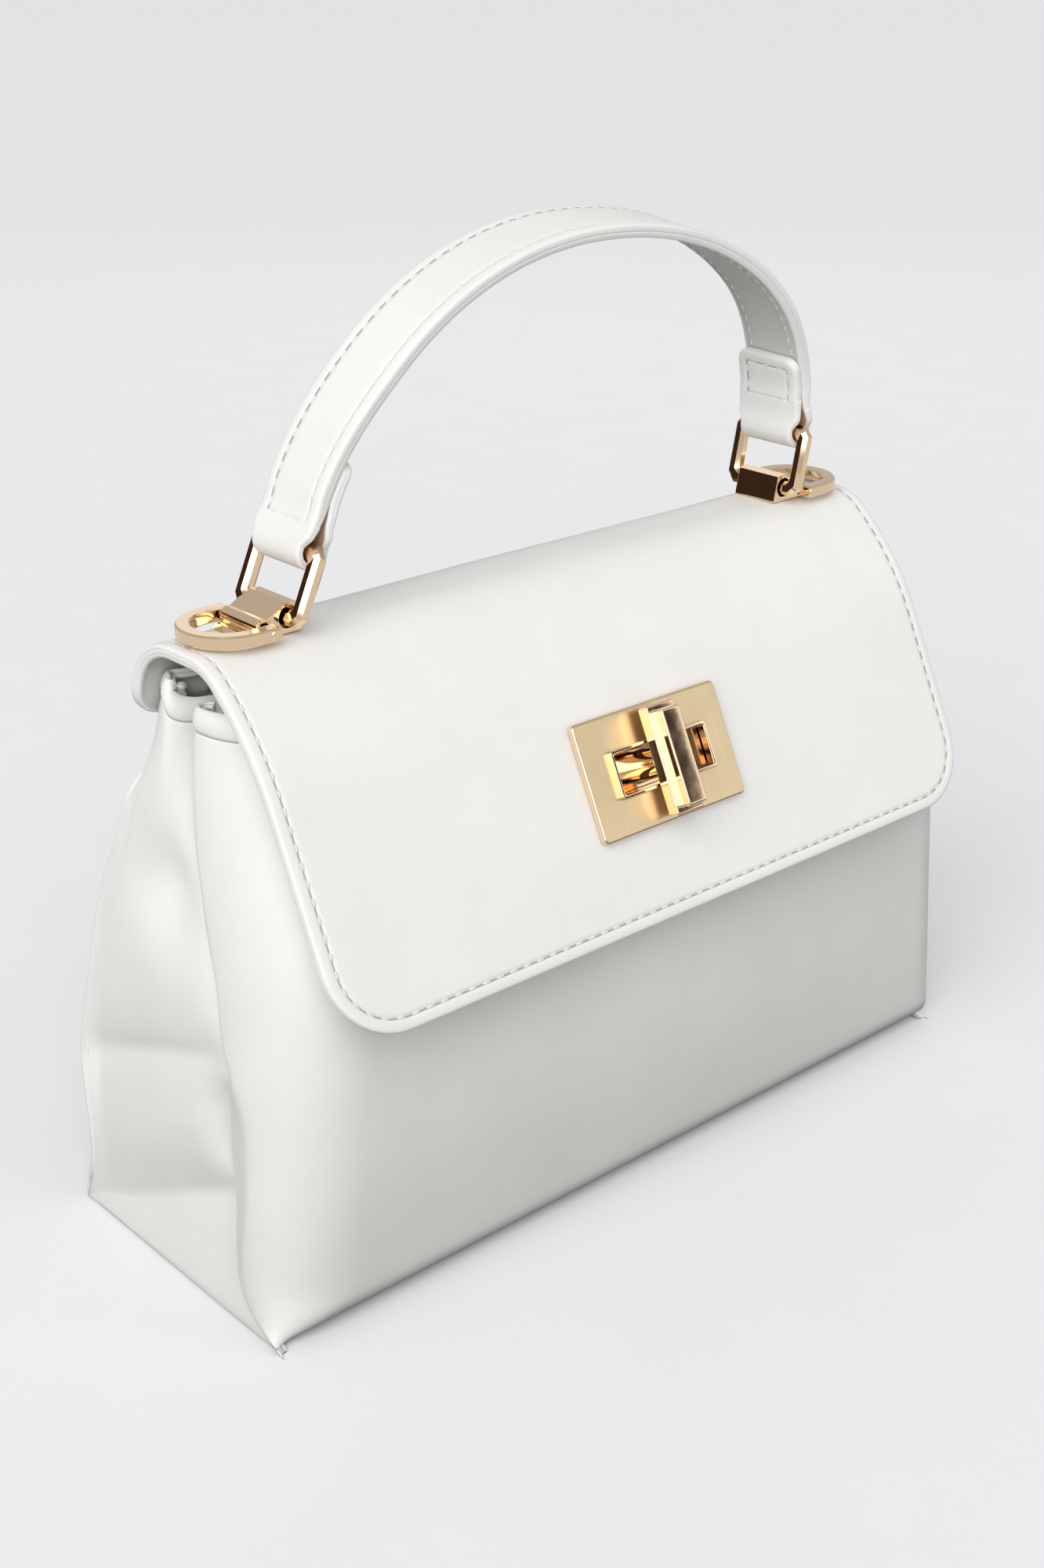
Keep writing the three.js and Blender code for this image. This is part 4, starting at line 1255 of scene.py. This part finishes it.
def make_handle():
    path, marks = handle_band()
    tab_left, inner_left, arc_left, outer_left, main_end, outer_right, arc_right, inner_right = marks[:8]
    rim = HANDLE_RIM
    half = STRAP_WIDTH / 2 - rim
    length = path.length - 2 * rim
    places = [0, *marks[:8], path.length]
    depths = np.repeat([TAB_THICKNESS, LOOP_LEATHER, STRAP_THICKNESS, LOOP_LEATHER, TAB_THICKNESS], 2)
    loops = [(inner_left + arc_left) / 2, (outer_right + arc_right) / 2]
    loop_reach = (arc_left - inner_left) / 2 + 1.2
    narrow = (STRAP_WIDTH - LOOP_WIDTH) / STRAP_WIDTH
    cross = [tab_left + 3, outer_left - 6.5, main_end + 6.5, inner_right - 3]

    def thick(s):
        return np.interp(s, places, depths)

    def out_of(flat, heights):
        s = flat[:, 1] + rim
        scale = 1.0
        for middle in loops:
            scale = scale - narrow * smooth((loop_reach + 1.6 - np.abs(s - middle)) / 3.2)
        inside = np.abs(flat[:, 0]) < half - STITCH_INSET
        dent = sum(bump(s - c, 0.3) for c in cross) * GROOVE_DEPTH * inside
        lift = thick(s) / 2 + heights - dent
        placed = path.point(s) + path.normal(s) * lift[:, None]
        points = np.stack([placed[:, 0], flat[:, 0] * scale, placed[:, 1]], -1)
        return lean_forward(points)

    deep = [TAB_CORNER + 1]
    across = np.linspace(deep[-1] - half, half - deep[-1], 9)
    stations = [np.arange(deep[-1], length - deep[-1], 1.6)]
    for middle in loops:
        stations.append(np.linspace(middle - loop_reach - 2, middle + loop_reach + 2, 44) - rim)
    for c in cross:
        stations.append(c - rim + CROSS_ROWS)
    stations.append([length - deep[-1]])
    along = np.unique(np.round(np.concatenate(stations), 2))
    along = along[np.concatenate([[True], np.diff(along) > 0.08])]
    flat, faces, kinds, loop, heights = edged_sheet(
        half, length, TAB_CORNER - rim, TAB_CORNER - rim, deep, across, along
    )

    def sewn(s):
        """Where the band has its edge groove: away from the two loops."""
        return (s < cross[0]) | ((s > cross[1]) & (s < cross[2])) | (s > cross[3])

    middle_s = np.array([flat[f][:, 1].mean() for f in faces]) + rim
    # The painted groove shade stays only where the band is sewn
    kinds = np.where(sewn(middle_s), kinds, OUTER)
    points = out_of(flat, np.where(sewn(flat[:, 1] + rim), heights, 0))
    top = np.argmax(points[:, 2])
    faces, loop, *_ = facing_out(points, faces, loop, loop, lambda n: n[top, 2] >= 0)
    in_loop = (middle_s > tab_left) & (middle_s < outer_left)
    in_loop |= (middle_s > main_end) & (middle_s < inner_right)
    shell = close_shell(
        points, faces, kinds, loop, thick(flat[:, 1] + rim), layered_rim(rim, layers=2, groove=0.2),
        inner_kind=np.where(in_loop, TAN, INNER),
    )
    add_leather("handle_leather", *shell, ["handle_strap"])
    make_handle_stitches(out_of, thick, cross, half, length, rim)


def make_handle_stitches(out_of, thick, cross, half, length, rim):
    inset = half - STITCH_INSET
    runs = []

    def run(x, s, under=False):
        flat = np.stack([np.broadcast_to(x, s.shape), s - rim], -1)
        edge, normal = stitch_run(out_of, flat)
        if under:
            return edge - normal * (thick(s) - 0.1)[:, None], -normal
        return edge, normal

    first, second, third, fourth = cross
    for x in (-inset, inset):
        runs.append(run(x, np.arange(second, third, 0.8)))
        runs.append(run(x, np.arange(rim + STITCH_INSET, first, 0.8)))
        runs.append(run(x, np.arange(fourth, length + rim - STITCH_INSET, 0.8)))
        arch = np.arange(second + TAB_LENGTH - LOOP_JOIN, third - TAB_LENGTH + LOOP_JOIN, 0.8)
        runs.append(run(x, arch, under=True))
    for c in (*cross, rim + STITCH_INSET, length + rim - STITCH_INSET):
        x = np.linspace(-inset, inset, 12)
        runs.append(run(x, np.full(len(x), c)))
    stitches("handle_stitches", runs)


# Metal
def flat_piece(outlines, depth, bevel, resolution=2):
    """A bevelled plate from an outline and its holes, in its own plane, centred in its depth.

    Returns a bmesh in millimetres."""
    curve = bpy.data.curves.new("outline", "CURVE")
    curve.dimensions = "2D"
    curve.fill_mode = "BOTH"
    curve.extrude = depth / 2 - bevel
    curve.bevel_depth = bevel
    curve.bevel_resolution = resolution
    curve.offset = -bevel
    for outline in outlines:
        spline_data = curve.splines.new("POLY")
        spline_data.points.add(len(outline) - 1)
        flat = np.tile([0.0, 0, 0, 1], (len(outline), 1))
        flat[:, :2] = outline
        spline_data.points.foreach_set("co", flat.ravel())
        spline_data.use_cyclic_u = True
    holder = add_object("outline", curve)
    evaluated = holder.evaluated_get(bpy.context.evaluated_depsgraph_get())
    mesh = bpy.data.meshes.new_from_object(evaluated)
    shape = bmesh.new()
    shape.from_mesh(mesh)
    bmesh.ops.remove_doubles(shape, verts=shape.verts, dist=0.002)
    bmesh.ops.recalc_face_normals(shape, faces=shape.faces)
    bpy.data.objects.remove(holder)
    bpy.data.curves.remove(curve)
    bpy.data.meshes.remove(mesh)
    return shape


def turned(rows):
    """A closed round piece about Z from rows of (radius, height), in millimetres."""
    sides = 48
    shape = bmesh.new()
    angle = np.linspace(0, 2 * math.pi, sides, endpoint=False)
    rings = [
        [shape.verts.new((r * math.cos(a), r * math.sin(a), z)) for a in angle] for r, z in rows
    ]
    for low, high in zip(rings, rings[1:]):
        for k in range(sides):
            shape.faces.new((low[k], low[(k + 1) % sides], high[(k + 1) % sides], high[k]))
    shape.faces.new(rings[0][::-1])
    shape.faces.new(rings[-1])
    bmesh.ops.recalc_face_normals(shape, faces=shape.faces)
    return shape


def metal_piece(name, parts, body, nodes, satin=None):
    """Joins (shape, matrix) parts into one piece. satin gives a point's height over the satin face."""
    whole = bmesh.new()
    mesh = bpy.data.meshes.new(name)
    for shape, matrix in parts:
        part = bpy.data.meshes.new("part")
        shape.to_mesh(part)
        shape.free()
        part.transform(matrix @ Matrix.Scale(MM, 4))
        whole.from_mesh(part)
        bpy.data.meshes.remove(part)
    whole.to_mesh(mesh)
    whole.free()
    mesh.materials.append(POLISHED)
    if satin is not None:
        mesh.materials.append(BRUSHED)
        for face in mesh.polygons:
            if all(abs(satin(mesh.vertices[v].co)) < 0.05 * MM for v in face.vertices):
                face.material_index = 1
    mesh.polygons.foreach_set("use_smooth", np.ones(len(mesh.polygons), bool))
    mesh.set_sharp_from_angle(angle=math.radians(32))
    piece = add_object(name, mesh)
    crisp = piece.modifiers.new("even normals", "WEIGHTED_NORMAL")
    crisp.keep_sharp = True
    crisp.weight = 100
    hand_over(piece, body, nodes)


def cut_rectangle(width, height, corner):
    x, y = width / 2, height / 2
    return [
        (corner - x, -y), (x - corner, -y), (x, corner - y), (x, y - corner),
        (x - corner, y), (corner - x, y), (-x, y - corner), (-x, corner - y),
    ]


def round_rectangle(width, height, corner, steps=6):
    x, y = width / 2 - corner, height / 2 - corner
    points = []
    for turn, (sx, sy) in enumerate(((1, 1), (-1, 1), (-1, -1), (1, -1))):
        for k in range(steps + 1):
            a = math.pi / 2 * (turn + k / steps)
            points.append((sx * x + corner * math.cos(a), sy * y + corner * math.sin(a)))
    return points


def circle(radius, centre=(0, 0), sides=40):
    angle = np.linspace(0, 2 * math.pi, sides, endpoint=False)
    return np.stack([centre[0] + radius * np.cos(angle), centre[1] + radius * np.sin(angle)], -1)


def shifted(x=0.0, y=0.0, z=0.0):
    return Matrix.Translation(Vector((x, y, z)) * MM)


def make_lock():
    lock = lock_matrix()
    to_lock = lock.inverted()
    slot = round_rectangle(SLOT_WIDTH, SLOT_HEIGHT, SLOT_CORNER)
    plate = flat_piece([round_rectangle(PLATE_WIDTH, PLATE_HEIGHT, PLATE_CORNER), slot],
                       PLATE_THICKNESS, PLATE_BEVEL, 4)
    rim_outline = round_rectangle(SLOT_WIDTH + 2 * RIM_WALL, SLOT_HEIGHT + 2 * RIM_WALL, SLOT_CORNER + 0.4)
    top = GAP + PLATE_THICKNESS + RIM_PROUD
    rim_depth = FLAP_THICKNESS + top
    rim = flat_piece([rim_outline, slot], rim_depth, 0.25, 3)
    parts = [
        (plate, lock @ shifted(z=GAP + PLATE_THICKNESS / 2)),
        (rim, lock @ shifted(z=top - rim_depth / 2)),
    ]

    def over_plate(point):
        return (to_lock @ point)[2] - (GAP + PLATE_THICKNESS) * MM

    metal_piece("lock_plate_metal", parts, "bag", ["lock_plate"], satin=over_plate)
    neck_top = top + GAP
    neck = turned([
        (NECK_RADIUS, -FOOT_DEPTH),
        (NECK_RADIUS, neck_top - 0.3),
        (NECK_RADIUS - 0.3, neck_top),
        (SHANK_RADIUS + PIN_CLEARANCE, neck_top),
        (SHANK_RADIUS + PIN_CLEARANCE, neck_top - 1),
    ])
    foot = flat_piece([round_rectangle(FOOT_LENGTH, FOOT_WIDTH, 2)], FOOT_THICKNESS, 0.3, 2)
    parts = [(neck, lock), (foot, lock @ shifted(z=-FOOT_DEPTH))]
    metal_piece("lock_neck_metal", parts, "bag", ["lock_neck"])
    base = neck_top + GAP
    lower = flat_piece([round_rectangle(BAR_WIDTH, BAR_LENGTH, BAR_CORNER, 3)], BAR_LOWER, BAR_BEVEL, 2)
    upper_height = BAR_LOWER + BAR_UPPER
    upper_outline = round_rectangle(BAR_WIDTH - 2 * BAR_STEP, BAR_LENGTH - 2 * BAR_STEP, BAR_CORNER, 3)
    upper = flat_piece([upper_outline], upper_height, BAR_BEVEL, 2)
    shank = turned([(SHANK_RADIUS, -4), (SHANK_RADIUS, base + 1)])
    parts = [
        (lower, lock @ shifted(z=base + BAR_LOWER / 2)),
        (upper, lock @ shifted(z=base + upper_height / 2)),
        (shank, lock),
    ]
    metal_piece("turn_bar_metal", parts, "turn_bar", ["lock_turn_bar"])


def mount_outline():
    """The mount's section: inner face, ridge, valley, barrel and tongue."""
    b = BARREL_RADIUS
    rows = [
        (-MOUNT_INNER, 0),
        (-MOUNT_INNER, 0.5),
        (-MOUNT_INNER * 0.62, MOUNT_HEIGHT * 0.95),
        (D_PIVOT_OFFSET * 0.09, MOUNT_HEIGHT),
        (D_PIVOT_OFFSET * 0.29, MOUNT_HEIGHT * 0.86),
        (D_PIVOT_OFFSET * 0.51, MOUNT_HEIGHT * 0.8),
    ]
    for angle in np.radians(np.linspace(104, -18, 15)):
        rows.append((D_PIVOT_OFFSET + b * math.cos(angle), D_PIVOT_HEIGHT + b * math.sin(angle)))
    rows += [
        (D_PIVOT_OFFSET + b, TONGUE_THICKNESS),
        (TONGUE_LENGTH - TONGUE_THICKNESS, TONGUE_THICKNESS),
        (TONGUE_LENGTH, 0),
    ]
    return rows[::-1]


def d_outline():
    outer, inner = D_INNER / 2 + D_WIRE, D_INNER / 2
    back = -D_THICKNESS / 2
    angle = np.linspace(-math.pi / 2, math.pi / 2, 49)
    bow = np.stack([np.cos(angle), np.sin(angle)], -1)
    outside = bow * outer + [D_LEG, 0]
    inside = (bow * inner + [D_LEG, 0])[::-1]
    return [(back, -outer), *outside, (back, outer), (back, inner), *inside, (back, -inner)]


def make_hardware(name, side):
    """One end's mount, rectangular ring and D-ring."""
    outward = Matrix.Rotation(math.pi if side < 0 else 0, 4, "Z")
    upright = Matrix.Rotation(math.pi / 2, 4, "X")
    place = shifted(side * MOUNT_CENTRE, 0, MOUNT_FLOOR) @ outward
    holes = [
        circle(RING_BAR_RADIUS + RING_CLEARANCE, (0, RING_PIVOT)),
        circle(D_PIN + PIN_CLEARANCE, (D_PIVOT_OFFSET, D_PIVOT_HEIGHT), 28),
    ]
    cast = flat_piece([mount_outline(), *holes], MOUNT_WIDTH, 0.18, 2)
    metal_piece(f"mount_{name}_metal", [(cast, place @ upright)], "bag",
                [f"handle_mount_{name}"])
    outer = cut_rectangle(RING_INNER + 2 * RING_BAR, RING_RISE + RING_BAR, RING_CHAMFER)
    inner = cut_rectangle(RING_INNER, RING_RISE - RING_BAR, 0.8)
    ring = flat_piece([outer, inner], RING_BAR, RING_BEVEL, 0)
    lean = Matrix.Rotation(math.radians(RING_LEAN[name]), 4, "Y")
    at = shifted(side * MOUNT_CENTRE, 0, MOUNT_FLOOR + RING_PIVOT)
    stand = Matrix.Rotation(math.pi / 2, 4, "Z") @ upright @ shifted(y=RING_RISE / 2)
    metal_piece(f"ring_{name}_metal", [(ring, at @ lean @ stand)], "bag",
                [f"handle_ring_{name}"])
    wire = flat_piece([d_outline()], D_THICKNESS, D_EDGE, 0)
    pin_length = D_INNER + 2 * D_WIRE + 0.3
    pin = turned([
        (D_PIN - 0.15, -pin_length / 2),
        (D_PIN, 0.15 - pin_length / 2),
        (D_PIN, pin_length / 2 - 0.15),
        (D_PIN - 0.15, pin_length / 2),
    ])
    pivot = place @ shifted(D_PIVOT_OFFSET, 0, D_PIVOT_HEIGHT)
    parts = [(wire, pivot), (pin, pivot @ upright)]
    metal_piece(f"d_ring_{name}_metal", parts, f"strap_ring_{name}",
                [f"d_ring_{name}"])


# Floor, lights and the cards that the metal mirrors
def floor_material():
    material, tree, shader = new_material("floor")
    place = place_nodes(tree)
    mottle = noise_node(tree, place, 40, detail=4)
    colour = mixed_colour(tree, ranged(tree, mottle, 0, 1), (0.86, 0.86, 0.875), (0.85, 0.85, 0.865))
    tree.links.new(colour, shader.inputs["Base Color"])
    shader.inputs["Roughness"].default_value = 0.9
    shader.inputs["Specular IOR Level"].default_value = 0.1
    return material


def flat_board(name, width, height, material):
    mesh = bpy.data.meshes.new(name)
    x, y = width / 2, height / 2
    mesh.from_pydata([(-x, -y, 0), (x, -y, 0), (x, y, 0), (-x, y, 0)], [], [(0, 1, 2, 3)])
    mesh.materials.append(material)
    return add_object(name, mesh)


def add_card(name, place, look_at, width, height, colour, diffuse=False, glow=0.0):
    """A flat card that the camera does not see, only reflections and, if asked, soft light."""
    material, _, shader = new_material(name)
    shader.inputs["Base Color"].default_value = (*colour, 1)
    shader.inputs["Roughness"].default_value = 1
    shader.inputs["Specular IOR Level"].default_value = 0
    shader.inputs["Emission Color"].default_value = (1, 1, 1, 1)
    shader.inputs["Emission Strength"].default_value = glow
    card = flat_board(name, width, height, material)
    card.location = place
    aim(card, Vector(look_at) - Vector(place), "Z")
    card.visible_camera = False
    card.visible_diffuse = diffuse
    card.visible_shadow = False
    card.visible_transmission = False


def add_area(name, place, look_at, size, power):
    data = bpy.data.lights.new(name, "AREA")
    data.shape = "RECTANGLE"
    data.size, data.size_y = size
    data.energy = power
    light = add_object(name, data)
    light.location = place
    aim(light, Vector(look_at) - Vector(place))


def make_stage():
    floor = flat_board("floor", 24, 24, floor_material())
    floor.visible_diffuse = False
    floor.visible_glossy = False
    world = bpy.data.worlds.new("studio")
    bpy.context.scene.world = world
    world.use_nodes = True
    background = world.node_tree.nodes["Background"]
    background.inputs["Color"].default_value = (0.98, 0.99, 1, 1)
    background.inputs["Strength"].default_value = 0.52
    middle = (0, 0, 0.1)
    sun = bpy.data.lights.new("key", "SUN")
    sun.energy = 2.05
    sun.angle = math.radians(60)
    sun.color = (1, 0.99, 0.97)
    aim(add_object("key", sun), (0.64, 0.47, -0.6))
    add_area("left soft box", (-1.1, -0.35, 0.75), middle, (0.9, 0.9), 1.5)
    add_area("front soft box", (0.85, -1.1, 0.5), middle, (0.8, 0.6), 1.7)
    add_area("back soft box", (0.95, 1.05, 0.85), middle, (0.9, 0.5), 0.6)
    dark = (0.06, 0.035, 0.025)
    ground = (0.16, 0.15, 0.15)
    add_card("dark ground", (0.05, 0.03, -0.002), (0.05, 0.03, 1), 0.66, 0.66, ground, diffuse=True)
    add_card("right card", (0.5, -0.64, 0.37), (0, -0.045, 0.123), 0.15, 0.15, dark)
    add_card("left card", (-0.6, 0.58, 0.2), (-0.09, 0, 0.18), 0.5, 0.5, dark)
    add_card("far left card", (-0.42, 0.55, 0.08), (0.08, 0, 0.17), 0.16, 0.16, dark)
    add_card("bright ground", (0, 0, -0.004), (0, 0, 1), 8, 8, (0, 0, 0), diffuse=True, glow=0.7)
    add_card("top card", (0.1, 0.5, 0.95), middle, 0.5, 0.14, dark)


make_body()
for gusset_name, gusset_side in (("gusset_left", -1), ("gusset_right", 1)):
    make_gusset(gusset_name, gusset_side)
make_flap()
make_handle()
make_lock()
for end_name, end_side in (("left", -1), ("right", 1)):
    make_hardware(end_name, end_side)
make_stage()
bpy.context.scene.view_settings.view_transform = "Standard"
